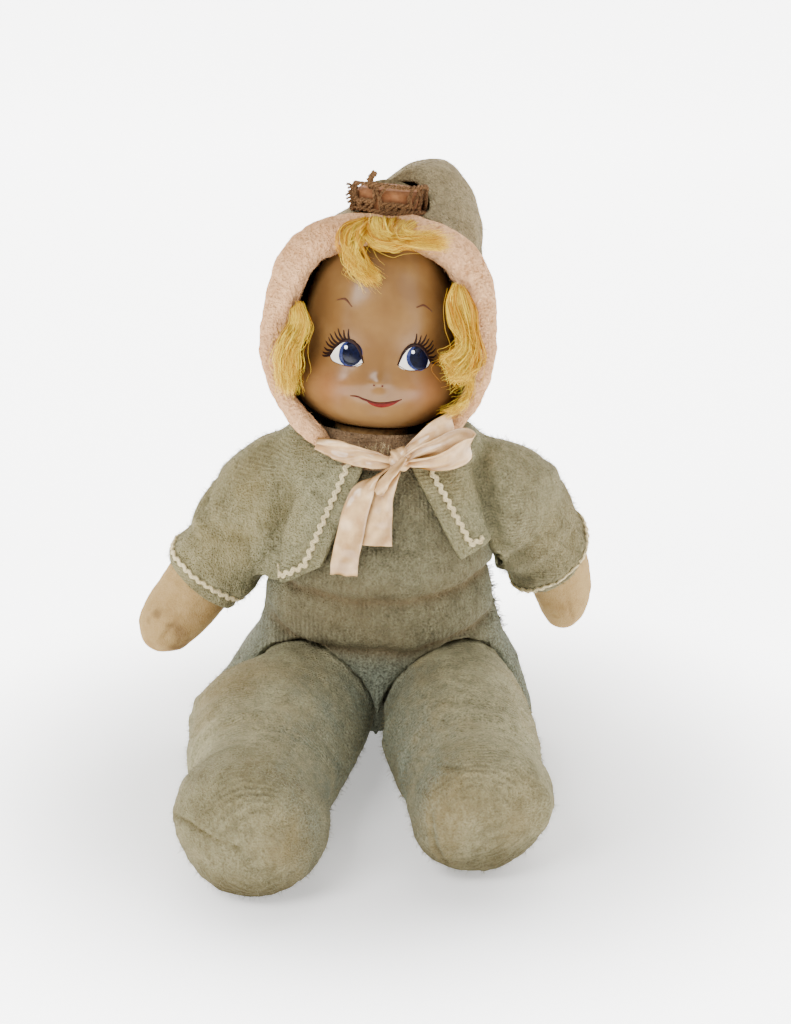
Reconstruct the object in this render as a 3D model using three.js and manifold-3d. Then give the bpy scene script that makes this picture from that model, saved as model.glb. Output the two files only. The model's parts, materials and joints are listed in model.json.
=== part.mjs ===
// Three-faced doll. A hollow composition head with three moulded faces turns on a dowel inside a hood,
// so that one face at a time looks out. The body, arms and legs are stuffed cloth, and the limbs swing
// on their sewn seams. A short jacket, its sleeves and a tied ribbon dress the body.
// Millimetres, +Z up, the doll faces -Y, and the origin is the middle of the flat seat.
import * as THREE from 'three';
import { mergeVertices } from 'three/addons/utils/BufferGeometryUtils.js';
import Module from 'manifold-3d';

const wasm = await Module();
wasm.setup();

// Fits and cloth
const SEAT_GAP = 0.3; // between pieces that are sewn, glued or laid on each other
const SWING_GAP = 0.6; // round a limb that swings on its seam
const TURN_GAP = 1.0; // between the turning head and what stands still round it
const FACET_ROOM = 0.9; // more room between curved sheets, whose facets cut across the curve
const JACKET_CLOTH = 2.6;

// Torso
const TORSO_HEIGHT = 147;
const TORSO_Y = -8; // its middle lies ahead of the middle of the seat
const SEAT_WIDTH = 154;
const SEAT_DEPTH = 88;
const SEAT_X = -8; // the seat spreads further to the doll's right
const WAIST_WIDTH = 102;
const BELLY_DEPTH = 90;
const CHEST_WIDTH = 93;
const CHEST_DEPTH = 76;
const NECK_WIDTH = 46;
const NECK_X = -3.5; // the neck stands a little to the doll's right

// Head, in a frame of its own that leans with the neck
const HEAD_HEIGHT = 86;
const CHEEK_RADIUS = 31.8;
const HEAD_WALL = 4;
const NECK_RISE = 5; // from the torso's top to the underside of the head
const HEAD_TILT_BACK = 8; // degrees
const HEAD_LEAN = 4.5; // degrees, to the doll's left
const FACE_TURN = 2.7; // degrees, to the doll's left
const NOSE_HEIGHT = 2.6;
const FACES = 3;
// Levels of a face's features, as shares of the head's height
const FACE_LEVELS = { chin: 0.05, mouth: 0.155, cheeks: 0.22, nose: 0.255, bridge: 0.34, eyes: 0.38 };

// Hair
const FRINGE_LENGTH = 24;
const FRINGE_WIDTH = 34;
const LOCK_LENGTHS = { left: 37, right: 44 };
const LOCK_RADIUS = 6.5;

// Turning gear
const DOWEL_RADIUS = 4.5;
const DOWEL_REACH = 50; // below the head
const TUBE_LENGTH = 38;
const TUBE_WALL = 2;
const NECK_DISC_RADIUS = 16;
const NECK_DISC_THICKNESS = 3;
const PLUG_RADIUS = 14;
const TOP_PLUG_RADIUS = 9;
const PLUG_LENGTH = 9;
const WASHER_RADIUS = 10;
const WASHER_THICKNESS = 1.2;
const COTTER_RADIUS = 1.1;
const COTTER_LENGTH = 15;
const KNOB_RADIUS = 15;
const KNOB_HEIGHT = 11;
const BRAID_WALL = 1.8;
const BRAID_HOLES = 6;

// Hood
const HOOD_CLOTH = 2.6;
const HOOD_ROOM = 11; // between the cheeks and the inside of the hood
const HOOD_TOP_ROOM = 2.6;
const HOOD_DROP = 14; // below the head, down to the collar
const PEAK_HEIGHT = 29;
const BRIM_WIDTH = 15.5;
const BRIM_DEPTH = 14;
const BRIM_BOX = 2.7; // exponent of its upper half: 2 is an ellipse, and more is squarer
const KNOB_HOLE = 11; // radius of the hole in the hood's top

// Jacket and its trim
const JACKET_HEM = 104;
const HEM_FLARE = 5;
const TRIM_WIDTH = 3.6;
const TRIM_THICKNESS = 1;
const TRIM_WAVE = 6.5; // length of one wave of the rickrack
const TRIM_SWAY = 1.1;
const TRIM_INSET = 4.5; // from the cloth's edge to the middle of the trim

// Arms, measured from the shoulder seam
const SHOULDER_RADIUS = 22.5;
const SHOULDER_HEIGHT = 117;
const HEM_RADIUS = 19.5;
const SLEEVE_LENGTH = 51;
const SLEEVE_CLOTH = 2.4;
const ARM_LENGTH = 91;
const HAND_RADIUS = 15.5;
const HAND_THICKNESS = 24;

// Legs, measured from the hip seam
const LEG_RADIUS = 30;
const ANKLE_RADIUS = 28.5;
const FOOT_RADIUS = 30.5;
const THIGH_SHARE = 0.26; // where along the leg its thigh is widest
const HIP_Y = -36;
const CROTCH_GAP = 4; // between the two hips
const FOOT_FLAT = 0.8; // how far the underside of a leg is pressed flat

// Rest pose of the limbs, in degrees. A shoulder stands outside the chest, an arm bows inward on its way
// to the hand, and a thigh is wider than the hip and stands aside of it, all in millimetres.
const SIDES = {
  left: {
    sign: -1, shoulderOut: 0.5, armOut: 37, armBack: 4, armBow: 1,
    legOut: 9.5, legLength: 140, thigh: 9, thighAside: 10,
  },
  right: {
    sign: 1, shoulderOut: 6, armOut: 36.5, armBack: 33, armBow: 26,
    legOut: 5, legLength: 123, thigh: 3, thighAside: -1,
  },
};
const HIP_SWING = [0, 80]; // degrees: sitting, straight

// Ribbon
const RIBBON_WIDTH = 14;
const RIBBON_THICKNESS = 0.9;
const KNOT_RADIUS = 5.5;
const LONG_TAIL = 45;
const SHORT_TAIL = 31;

const COLOURS = {
  flannel: 0xa3a290,
  fleece: 0xddbfaa,
  skin: 0xc59a6d,
  calico: 0xbda685,
  mohair: 0xe2b84a,
  satin: 0xead2bd,
  rickrack: 0xe0d6bf,
  braid: 0x85603f,
  neck: 0x8c7556,
  wood: 0xc8a06c,
  card: 0xa88a62,
  steel: 0x9a9a98,
};

const { degToRad, lerp, clamp, smoothstep } = THREE.MathUtils;
const bell = (distance, width) => Math.exp(-((distance / width) ** 2));
const range = (count, at) => Array.from({ length: count }, (_, i) => at(i));
const ring = (columns, at) => range(columns, (i) => at((i / columns) * 2 * Math.PI));

// Closed solids from geometry, and back
function solid(geometry, matrix) {
  const bare = geometry.clone();
  bare.deleteAttribute('normal');
  bare.deleteAttribute('uv');
  if (matrix) bare.applyMatrix4(matrix);
  const merged = mergeVertices(bare, 1e-4);
  return new wasm.Manifold(new wasm.Mesh({
    numProp: 3,
    vertProperties: new Float32Array(merged.attributes.position.array),
    triVerts: new Uint32Array(merged.index.array),
  }));
}

function geometryOf(manifold) {
  const { vertProperties, triVerts, numProp } = manifold.getMesh();
  const positions = new Float32Array((vertProperties.length / numProp) * 3);
  for (let i = 0; i < positions.length / 3; i += 1) {
    for (let k = 0; k < 3; k += 1) positions[3 * i + k] = vertProperties[numProp * i + k];
  }
  const geometry = new THREE.BufferGeometry();
  geometry.setAttribute('position', new THREE.BufferAttribute(positions, 3));
  geometry.setIndex(Array.from(triVerts));
  return geometry;
}

// A skin over rings of points, closed at both ends by a fan to the ring's middle
function loft(rings) {
  const columns = rings[0].length;
  const points = rings.flat();
  const middle = (list) => list.reduce((sum, p) => sum.add(p), new THREE.Vector3()).divideScalar(columns);
  points.push(middle(rings[0]), middle(rings[rings.length - 1]));
  const first = points.length - 2;
  const last = points.length - 1;
  const triangles = [];
  for (let i = 0; i < columns; i += 1) {
    const next = (i + 1) % columns;
    for (let k = 0; k < rings.length - 1; k += 1) {
      const a = k * columns;
      const b = a + columns;
      triangles.push(a + i, a + next, b + next, a + i, b + next, b + i);
    }
    const end = (rings.length - 1) * columns;
    triangles.push(first, next, i, last, end + i, end + next);
  }
  return faced(points, triangles);
}

// A sheet of even thickness over a grid of points, with its edges closed
function slab(columns, rows, thickness, at) {
  const grid = range(rows + 1, (k) => range(columns + 1, (i) => at(i / columns, k / rows)));
  const normal = (k, i) => {
    const along = grid[k][Math.min(i + 1, columns)].clone().sub(grid[k][Math.max(i - 1, 0)]);
    const across = grid[Math.min(k + 1, rows)][i].clone().sub(grid[Math.max(k - 1, 0)][i]);
    return along.cross(across).normalize();
  };
  const points = [];
  [0.5, -0.5].forEach((side) => grid.forEach((row, k) => row.forEach((p, i) => {
    points.push(p.clone().addScaledVector(normal(k, i), side * thickness));
  })));
  const index = (side, k, i) => side * (rows + 1) * (columns + 1) + k * (columns + 1) + i;
  const triangles = [];
  const quad = (a, b, c, d) => triangles.push(a, b, c, a, c, d);
  for (let k = 0; k < rows; k += 1) {
    for (let i = 0; i < columns; i += 1) {
      quad(index(0, k, i), index(0, k, i + 1), index(0, k + 1, i + 1), index(0, k + 1, i));
      quad(index(1, k, i), index(1, k + 1, i), index(1, k + 1, i + 1), index(1, k, i + 1));
    }
    quad(index(0, k, 0), index(0, k + 1, 0), index(1, k + 1, 0), index(1, k, 0));
    quad(index(0, k, columns), index(1, k, columns), index(1, k + 1, columns), index(0, k + 1, columns));
  }
  for (let i = 0; i < columns; i += 1) {
    quad(index(0, 0, i), index(1, 0, i), index(1, 0, i + 1), index(0, 0, i + 1));
    quad(index(0, rows, i), index(0, rows, i + 1), index(1, rows, i + 1), index(1, rows, i));
  }
  return faced(points, triangles);
}

// Indexed geometry whose faces point outwards
function faced(points, triangles) {
  let volume = 0;
  for (let t = 0; t < triangles.length; t += 3) {
    const [a, b, c] = [0, 1, 2].map((k) => points[triangles[t + k]]);
    volume += a.dot(b.clone().cross(c));
  }
  if (volume < 0) triangles.reverse();
  const geometry = new THREE.BufferGeometry().setFromPoints(points);
  geometry.setIndex(triangles);
  return geometry;
}

// A tube of changing section along a curve, whose ends are rounded off by its radii
function tube(curve, steps, columns, radii) {
  const frames = curve.computeFrenetFrames(steps, false);
  return loft(range(steps + 1, (k) => {
    const t = k / steps;
    const centre = curve.getPointAt(t);
    const [wide, deep] = radii(t);
    return ring(columns, (a) => centre.clone()
      .addScaledVector(frames.normals[k], wide * Math.cos(a))
      .addScaledVector(frames.binormals[k], deep * Math.sin(a)));
  }));
}

const revolve = (outline, segments) => new THREE.LatheGeometry(
  outline.map(([r, z]) => new THREE.Vector2(r, z)), segments,
).rotateX(Math.PI / 2);
const drum = (radius, low, high, segments = 20) => revolve(
  [[0, low], [radius, low], [radius, high], [0, high]], segments,
);
const washer = (inner, outer, low, high, segments = 20) => revolve(
  [[inner, low], [outer, low], [outer, high], [inner, high], [inner, low]], segments,
);
const vec = (x, y, z) => new THREE.Vector3(x, y, z);

// The frame of the head, the hood and the turning gear: its Z axis is the dowel
const NECK_HEIGHT = TORSO_HEIGHT + NECK_RISE;
const headFrame = new THREE.Group();
headFrame.position.set(NECK_X, TORSO_Y, NECK_HEIGHT);
headFrame.rotation.set(degToRad(-HEAD_TILT_BACK), degToRad(HEAD_LEAN), 0);
headFrame.updateMatrix();
const inHeadFrame = headFrame.matrix;
const fromHeadFrame = inHeadFrame.clone().invert();

// Torso: half width and half depth against height, swelling at the seat and the belly
const torsoCurve = new THREE.CatmullRomCurve3([
  vec(SEAT_WIDTH / 2 - 8, SEAT_DEPTH / 2 - 9, 0),
  vec(SEAT_WIDTH / 2, SEAT_DEPTH / 2, 0.09),
  vec(lerp(SEAT_WIDTH, WAIST_WIDTH, 0.25) / 2, SEAT_DEPTH / 2 + 2, 0.2),
  vec(lerp(SEAT_WIDTH, WAIST_WIDTH, 0.6) / 2, BELLY_DEPTH / 2, 0.31),
  vec(WAIST_WIDTH / 2, BELLY_DEPTH / 2, 0.46),
  vec(lerp(WAIST_WIDTH, CHEST_WIDTH, 0.5) / 2, lerp(BELLY_DEPTH, CHEST_DEPTH, 0.3) / 2, 0.6),
  vec(CHEST_WIDTH / 2, CHEST_DEPTH / 2, 0.73),
  vec(lerp(CHEST_WIDTH, NECK_WIDTH, 0.04) / 2, lerp(CHEST_DEPTH, NECK_WIDTH, 0.3) / 2, 0.85),
  vec(lerp(CHEST_WIDTH, NECK_WIDTH, 0.24) / 2, lerp(CHEST_DEPTH, NECK_WIDTH, 0.68) / 2, 0.94),
  vec(NECK_WIDTH / 2, NECK_WIDTH / 2, 1),
]);
const torsoSamples = torsoCurve.getPoints(240);

function torsoSection(z) {
  const share = clamp(z / TORSO_HEIGHT, 0, 1);
  const k = Math.max(1, torsoSamples.findIndex((p) => p.z >= share));
  const [low, high] = [torsoSamples[k - 1], torsoSamples[k]];
  const t = clamp((share - low.z) / (high.z - low.z), 0, 1);
  const aside = SEAT_X * (1 - smoothstep(share, 0, 0.45));
  return { wide: lerp(low.x, high.x, t), deep: lerp(low.y, high.y, t), aside };
}

function torsoPoint(angle, z, grow = 0) {
  const { wide, deep, aside } = torsoSection(z);
  return vec(aside + (wide + grow) * Math.cos(angle), TORSO_Y + (deep + grow) * Math.sin(angle), z);
}

function torsoFront(x, z, grow = 0) {
  const { wide, deep } = torsoSection(z);
  const share = clamp(x / (wide + grow), -0.98, 0.98);
  return vec(x, TORSO_Y - (deep + grow) * Math.sqrt(1 - share * share), z);
}

function torsoSolid(grow, bottom, top, columns, rows) {
  return solid(loft(range(rows + 1, (k) => {
    const z = lerp(bottom, top, k / rows);
    return ring(columns, (a) => torsoPoint(a, z, grow));
  })));
}

// Rings of a limb along -Z from its pivot, through sections out to the tip.
// bend gives how far its middle stands aside, along X, at a distance from the pivot.
function limbRings(sections, bend, grow, columns, rows) {
  const curve = new THREE.CatmullRomCurve3(sections.map(([wide, deep, along]) => vec(wide, deep, along)));
  const reach = sections[sections.length - 1][2];
  return range(rows + 1, (k) => {
    const { x, y, z } = curve.getPoint(k / rows);
    const stretch = z * (1 + grow / reach);
    return ring(columns, (a) => vec(
      bend(z) + Math.max(x + grow, 1) * Math.cos(a), Math.max(y + grow, 1) * Math.sin(a), -stretch,
    ));
  });
}

// A limb: a round end to swing in its seat, then its rings
function limbSolid(sections, bend, grow, columns, rows, matrix) {
  const root = sections[0][0] + grow;
  const domeRows = 4;
  const dome = range(domeRows, (k) => {
    const angle = ((k + 0.6) / (domeRows + 0.6)) * (Math.PI / 2);
    return ring(columns, (a) => vec(
      root * Math.sin(angle) * Math.cos(a), root * Math.sin(angle) * Math.sin(a), root * Math.cos(angle),
    ));
  });
  return solid(loft([...dome, ...limbRings(sections, bend, grow, columns, rows)]), matrix);
}

// A limb's place: its pivot, the way that it points at rest and the axis that it swings about
function placed(pivot, direction) {
  const group = new THREE.Group();
  group.position.copy(pivot);
  group.quaternion.setFromUnitVectors(vec(0, 0, -1), direction.clone().normalize());
  group.updateMatrix();
  return group;
}

function swung(matrix, pivot, axis, degrees) {
  return new THREE.Matrix4().makeTranslation(pivot)
    .multiply(new THREE.Matrix4().makeRotationAxis(axis, degToRad(degrees)))
    .multiply(new THREE.Matrix4().makeTranslation(pivot.clone().negate()))
    .multiply(matrix);
}

const doll = new THREE.Group();
doll.name = 'doll';

function add(parent, name, colour, geometry, roughness = 0.95, metalness = 0) {
  const material = new THREE.MeshStandardMaterial({ color: colour, roughness, metalness });
  const mesh = new THREE.Mesh(geometry, material);
  mesh.name = name;
  parent.add(mesh);
}

// Legs: stuffed casings with a rounded hip, a soft ankle and a swelling foot
const legSections = (length, thigh) => [
  [LEG_RADIUS, LEG_RADIUS, 0],
  [LEG_RADIUS + thigh, LEG_RADIUS + 1, THIGH_SHARE * length],
  [lerp(LEG_RADIUS + thigh, ANKLE_RADIUS, 0.5), LEG_RADIUS - 1, 0.48 * length],
  [ANKLE_RADIUS, ANKLE_RADIUS - 1, 0.68 * length],
  [FOOT_RADIUS, FOOT_RADIUS - 1, 0.83 * length],
  [0.88 * FOOT_RADIUS, 0.88 * FOOT_RADIUS, 0.94 * length],
  [0.4 * FOOT_RADIUS, 0.4 * FOOT_RADIUS, length],
];
const HIP_HEIGHT = LEG_RADIUS + 1 - FOOT_FLAT;
const legs = Object.entries(SIDES).map(([side, { sign, legOut, legLength, thigh, thighAside }]) => {
  const pivot = vec(sign * (LEG_RADIUS + CROTCH_GAP / 2), HIP_Y, HIP_HEIGHT);
  const out = degToRad(legOut) * sign;
  const place = placed(pivot, vec(Math.sin(out), -Math.cos(out), 0));
  const axis = vec(Math.cos(out), Math.sin(out), 0);
  const widest = THIGH_SHARE * legLength;
  const bend = (along) => sign * thighAside
    * smoothstep(along, 0, widest) * (1 - smoothstep(along, widest, 3 * widest));
  return { side, place, out, axis, bend, sections: legSections(legLength, thigh) };
});
const FLOOR_DEPTH = 60;
const belowFloor = solid(new THREE.BoxGeometry(600, 600, FLOOR_DEPTH).translate(0, 0, -FLOOR_DEPTH / 2));

legs.forEach(({ side, place, bend, sections }) => {
  const leg = limbSolid(sections, bend, 0, 18, 11, place.matrix).subtract(belowFloor);
  const node = new THREE.Group();
  node.position.copy(place.position);
  node.quaternion.copy(place.quaternion);
  add(node, `${side}_leg`, COLOURS.flannel, geometryOf(leg).applyMatrix4(place.matrix.clone().invert()));
  doll.add(node);
});

// The room that a swinging leg takes: its round hip, its thigh along the swing and the quarter between
function legSweep({ place, out, axis, bend, sections }) {
  const hip = solid(new THREE.SphereGeometry(LEG_RADIUS + SWING_GAP + FACET_ROOM, 16, 10), place.matrix);
  const reach = 2 * HIP_HEIGHT;
  const thighs = [0, 0.33, 0.67, 1].map((share) => {
    const turned = swung(place.matrix, place.position, axis, lerp(HIP_SWING[0], HIP_SWING[1], share));
    return solid(loft(limbRings(sections.slice(0, 3), bend, SWING_GAP + FACET_ROOM, 16, 3)), turned);
  });
  const quarter = new THREE.BoxGeometry(2 * (LEG_RADIUS + 2 * CROTCH_GAP), reach, reach)
    .translate(0, reach / 2, -reach / 2).rotateZ(out);
  return together([hip, ...thighs, solid(quarter, place.matrix)]);
}

// Arms: each shoulder's pivot stands just outside the chest
const sleeveSections = [
  [SHOULDER_RADIUS, SHOULDER_RADIUS, 0],
  [lerp(SHOULDER_RADIUS, HEM_RADIUS, 0.5), lerp(SHOULDER_RADIUS, HEM_RADIUS, 0.3), 0.4 * SLEEVE_LENGTH],
  [HEM_RADIUS, HEM_RADIUS - 1, 0.75 * SLEEVE_LENGTH],
  [HEM_RADIUS, HEM_RADIUS - 2, SLEEVE_LENGTH],
];
const armRoot = SHOULDER_RADIUS - SLEEVE_CLOTH - SEAT_GAP;
const armSections = [
  [armRoot, armRoot, 0],
  [armRoot - 3, armRoot - 4, 0.3 * ARM_LENGTH],
  [lerp(armRoot, HAND_RADIUS, 0.8), HAND_THICKNESS / 2 + 1, 0.55 * ARM_LENGTH],
  [HAND_RADIUS, HAND_THICKNESS / 2, 0.74 * ARM_LENGTH],
  [0.8 * HAND_RADIUS, 0.42 * HAND_THICKNESS, 0.91 * ARM_LENGTH],
  [0.3 * HAND_RADIUS, 0.2 * HAND_THICKNESS, ARM_LENGTH],
];
const arms = Object.entries(SIDES).map(([side, { sign, shoulderOut, armOut, armBack, armBow }]) => {
  const chestSide = torsoSection(SHOULDER_HEIGHT).wide + JACKET_CLOTH;
  const pivot = vec(sign * (chestSide + shoulderOut), TORSO_Y + 4, SHOULDER_HEIGHT);
  const [out, back] = [degToRad(armOut), degToRad(armBack)];
  const direction = vec(
    sign * Math.sin(out), Math.cos(out) * Math.sin(back), -Math.cos(out) * Math.cos(back),
  );
  const bow = (along) => armBow * (Math.max(along, 0) / ARM_LENGTH) ** 2;
  const bend = (along) => -sign * bow(along);
  return { side, sign, out, pivot, bow, bend, place: placed(pivot, direction) };
});

// Rickrack round a limb: a strip that sways along the limb as it goes round
function cuffTrim(sections, along, bend) {
  const curve = new THREE.CatmullRomCurve3(sections.map(([wide, deep, d]) => vec(wide, deep, d)));
  const reach = sections[sections.length - 1][2];
  const lift = SEAT_GAP + TRIM_THICKNESS / 2 + 0.25;
  const waves = Math.round((2 * Math.PI * sections[0][0]) / TRIM_WAVE);
  const open = 0.01; // the strip's two ends meet under the arm
  return slab(2 * waves, 1, TRIM_THICKNESS, (u, v) => {
    const turn = lerp(open, 1 - open, u);
    const angle = turn * 2 * Math.PI;
    const d = along + TRIM_SWAY * Math.cos(u * waves * 2 * Math.PI) + (v - 0.5) * TRIM_WIDTH;
    const { x, y } = curve.getPoint(clamp(d / reach, 0, 1));
    return vec(bend(d) + (x + lift) * Math.cos(angle), (y + lift) * Math.sin(angle), -d);
  });
}

arms.forEach(({ side, place, bend }) => {
  const node = new THREE.Group();
  node.position.copy(place.position);
  node.quaternion.copy(place.quaternion);
  const endCut = solid(drum(2 * SHOULDER_RADIUS, -SLEEVE_LENGTH - 20, -SLEEVE_LENGTH + 0.5, 12));
  const sleeveHollow = limbSolid(
    [...sleeveSections, [HEM_RADIUS, HEM_RADIUS - 2, SLEEVE_LENGTH + 8]], bend, -SLEEVE_CLOTH, 16, 5,
  );
  const sleeve = limbSolid(sleeveSections, bend, 0, 16, 5).subtract(endCut).subtract(sleeveHollow);
  add(node, `${side}_sleeve`, COLOURS.flannel, geometryOf(sleeve));
  add(node, `${side}_sleeve_trim`, COLOURS.rickrack,
    cuffTrim(sleeveSections, SLEEVE_LENGTH - TRIM_INSET, bend));
  add(node, `${side}_arm`, COLOURS.calico, geometryOf(limbSolid(armSections, bend, 0, 16, 10)));
  doll.add(node);
});

// The room that a swinging arm takes: the inner side of its outline turned about the swing axis
function armSweep({ sign, out, pivot, bow }) {
  const [sin, cos] = [Math.sin(out), Math.cos(out)];
  const root = SHOULDER_RADIUS + SWING_GAP;
  const dome = range(5, (k) => {
    const angle = (k / 5) * out;
    return [root * Math.sin(angle), -root * Math.cos(angle)];
  });
  const flank = sleeveSections.map(([wide, , along]) => {
    const r = wide + bow(along) + SWING_GAP;
    return [along * cos + r * sin, along * sin - r * cos];
  });
  const rim = flank[flank.length - 1][0];
  const outline = [...dome, ...flank, [rim, 3 * root], [0, 3 * root]];
  return solid(revolve(outline, 18).rotateY((sign * Math.PI) / 2).translate(...pivot.toArray()));
}
const together = (solids) => solids.reduce((sum, next) => sum.add(next));
const legRoom = together(legs.map(legSweep));
const armRoom = together(arms.map(armSweep));

// Turning gear in the head's frame, from the neck down and from the head up
const neckTop = -NECK_DISC_THICKNESS - 2 * SEAT_GAP;
const neckCut = -NECK_RISE - 1.5;
const tubeInner = DOWEL_RADIUS + SEAT_GAP;
const tubeOuter = tubeInner + TUBE_WALL;
const tubeTop = neckTop - 0.5;
const tubeBottom = tubeTop - TUBE_LENGTH;
const washerTop = tubeBottom - SEAT_GAP;
const cotterLevel = washerTop - WASHER_THICKNESS - SEAT_GAP - COTTER_RADIUS;
const gearChamber = solid(drum(COTTER_LENGTH / 2 + 5, -DOWEL_REACH - 1, tubeBottom, 16), inHeadFrame);
const tubeBore = solid(drum(tubeOuter + SEAT_GAP, tubeBottom - 1, neckTop, 16), inHeadFrame);
const aboveNeck = solid(new THREE.BoxGeometry(200, 200, 100).translate(0, 0, 50 + neckCut), inHeadFrame);

// Torso: hollowed for the limbs that swing in it, and bored from its neck for the turning gear
const torso = torsoSolid(0, 0, TORSO_HEIGHT, 24, 14)
  .subtract(legRoom).subtract(armRoom).subtract(aboveNeck).subtract(tubeBore).subtract(gearChamber);
add(doll, 'torso', COLOURS.flannel, geometryOf(torso));

// Jacket: a bolero from edge to edge round the back, standing away from the belly at its hem
const collar = TORSO_HEIGHT - 4;
// How far each front edge stands from the middle, in degrees
const FRONT_EDGES = { left: { top: 20, bottom: 28 }, right: { top: 30, bottom: 40 } };
const jacketOff = SEAT_GAP + JACKET_CLOTH / 2 + FACET_ROOM;

function jacketPoint(u, v, lift = 0) {
  const low = 1 - v;
  const drop = low * low;
  const left = lerp(FRONT_EDGES.left.bottom, FRONT_EDGES.left.top, v);
  const right = lerp(FRONT_EDGES.right.bottom, FRONT_EDGES.right.top, v);
  const angle = degToRad(lerp(-90 - left, -450 + right, u));
  const front = Math.max(bell(u, 0.2), bell(1 - u, 0.2));
  const z = lerp(JACKET_HEM, collar, v) + drop * (1 - front) * 6;
  return torsoPoint(angle, z, jacketOff + HEM_FLARE * drop * (0.35 + 0.65 * front) + lift);
}
const jacket = solid(slab(30, 6, JACKET_CLOTH, (u, v) => jacketPoint(u, v)))
  .subtract(armRoom).subtract(aboveNeck);
add(doll, 'jacket_body', COLOURS.flannel, geometryOf(jacket));

// Rickrack down each front edge and along the hem, with a turned corner
function frontTrim(mirrored, hemShare) {
  const girth = range(33, (k) => jacketPoint(k / 32, 0.5));
  const edge = TRIM_INSET / girth.reduce((sum, p, k) => sum + (k ? p.distanceTo(girth[k - 1]) : 0), 0);
  const rise = TRIM_INSET / (collar - JACKET_HEM);
  const path = new THREE.CurvePath();
  path.add(new THREE.LineCurve(new THREE.Vector2(edge, 0.86), new THREE.Vector2(edge, rise)));
  path.add(new THREE.LineCurve(new THREE.Vector2(edge, rise), new THREE.Vector2(hemShare, rise)));
  const lift = JACKET_CLOTH / 2 + SEAT_GAP + TRIM_THICKNESS / 2 + FACET_ROOM + 0.15;
  const on = (p) => jacketPoint(mirrored ? 1 - p.x : p.x, p.y, lift);
  const lengths = range(81, (k) => on(path.getPoint(k / 80)));
  const length = lengths.reduce((sum, p, k) => sum + (k ? p.distanceTo(lengths[k - 1]) : 0), 0);
  const waves = Math.round(length / TRIM_WAVE);
  const strip = slab(2 * waves, 1, TRIM_THICKNESS, (u, v) => {
    const p = path.getPoint(clamp(u, 0, 1));
    const [before, after] = [Math.max(u - 0.01, 0), Math.min(u + 0.01, 1)];
    const along = on(path.getPoint(after)).sub(on(path.getPoint(before))).normalize();
    const here = on(p);
    const outward = on(p).sub(vec(0, TORSO_Y, here.z)).setZ(0).normalize();
    const across = along.cross(outward).normalize();
    const shift = TRIM_SWAY * Math.cos(u * waves * 2 * Math.PI) + (v - 0.5) * TRIM_WIDTH;
    return here.addScaledVector(across, shift);
  });
  return geometryOf(solid(strip).subtract(armRoom));
}
add(doll, 'jacket_trim_left', COLOURS.rickrack, frontTrim(false, 0.15));
add(doll, 'jacket_trim_right', COLOURS.rickrack, frontTrim(true, 0.1));

// Head: a bellied profile with the same three faces' moulding repeated round it
const headOutline = new THREE.SplineCurve([
  new THREE.Vector2(0.45, 0), new THREE.Vector2(0.66, 0.018), new THREE.Vector2(0.86, 0.075),
  new THREE.Vector2(0.965, 0.15), new THREE.Vector2(1, 0.24), new THREE.Vector2(0.985, 0.38),
  new THREE.Vector2(0.97, 0.52), new THREE.Vector2(0.93, 0.66), new THREE.Vector2(0.82, 0.8),
  new THREE.Vector2(0.6, 0.92), new THREE.Vector2(0.3, 0.99),
]);
const faceSpan = (2 * Math.PI) / FACES;

function headRadius(outline, angle) {
  const [share, height] = [outline.x, outline.y * HEAD_HEIGHT];
  const base = share * CHEEK_RADIUS;
  const turn = ((angle + Math.PI / 2) / faceSpan + 100.5) % 1; // half is the middle of a face
  const across = Math.abs(turn - 0.5) * faceSpan * base;
  const from = (level) => height - level * HEAD_HEIGHT;
  const cheeks = 1.4 * bell(across - 17, 10) * bell(from(FACE_LEVELS.cheeks), 11);
  const seam = (0.5 - Math.abs(turn - 0.5)) * faceSpan;
  const hollow = -1.3 * bell(seam, 0.28) * bell(from(FACE_LEVELS.bridge), 34);
  const nose = NOSE_HEIGHT * bell(across, 4.2) * bell(from(FACE_LEVELS.nose), 4.2);
  const bridge = 0.6 * bell(across, 4) * bell(from(FACE_LEVELS.bridge), 6);
  const lips = 0.6 * bell(across, 8) * bell(from(FACE_LEVELS.mouth), 3.4);
  const chin = 1.1 * bell(across, 9) * bell(from(FACE_LEVELS.chin), 4);
  const sockets = -0.8 * bell(across - 15, 7) * bell(from(FACE_LEVELS.eyes), 6);
  return base + cheeks + hollow + nose + bridge + lips + chin + sockets;
}

// Columns crowd towards the middle of each face, where the nose and lips are
const HEAD_COLUMNS_PER_FACE = 12;
const headAngles = range(FACES * HEAD_COLUMNS_PER_FACE, (i) => {
  const t = (i % HEAD_COLUMNS_PER_FACE) / HEAD_COLUMNS_PER_FACE - 0.5;
  const crowded = Math.sign(t) * (0.45 * Math.abs(t) + 1.1 * t * t);
  return (Math.floor(i / HEAD_COLUMNS_PER_FACE) + crowded) * faceSpan - Math.PI / 2;
});
const HEAD_ROWS = 22;
const headRows = range(HEAD_ROWS + 1, (k) => headOutline.getPoint(k / HEAD_ROWS));
const headOuter = solid(loft(headRows.map((outline) => headAngles.map((angle) => {
  const r = headRadius(outline, angle);
  const turned = angle + degToRad(FACE_TURN);
  return vec(r * Math.cos(turned), r * Math.sin(turned), outline.y * HEAD_HEIGHT + SEAT_GAP);
}))));
const headInner = solid(revolve([
  [0, -2],
  ...range(9, (k) => {
    const outline = headOutline.getPoint(0.06 + 0.86 * (k / 8));
    const lift = lerp(HEAD_WALL, -HEAD_WALL, k / 8);
    return [Math.max(outline.x * CHEEK_RADIUS - HEAD_WALL - 1.3, 2), outline.y * HEAD_HEIGHT + lift];
  }),
  [0, 0.985 * HEAD_HEIGHT - HEAD_WALL],
], 20));
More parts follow.
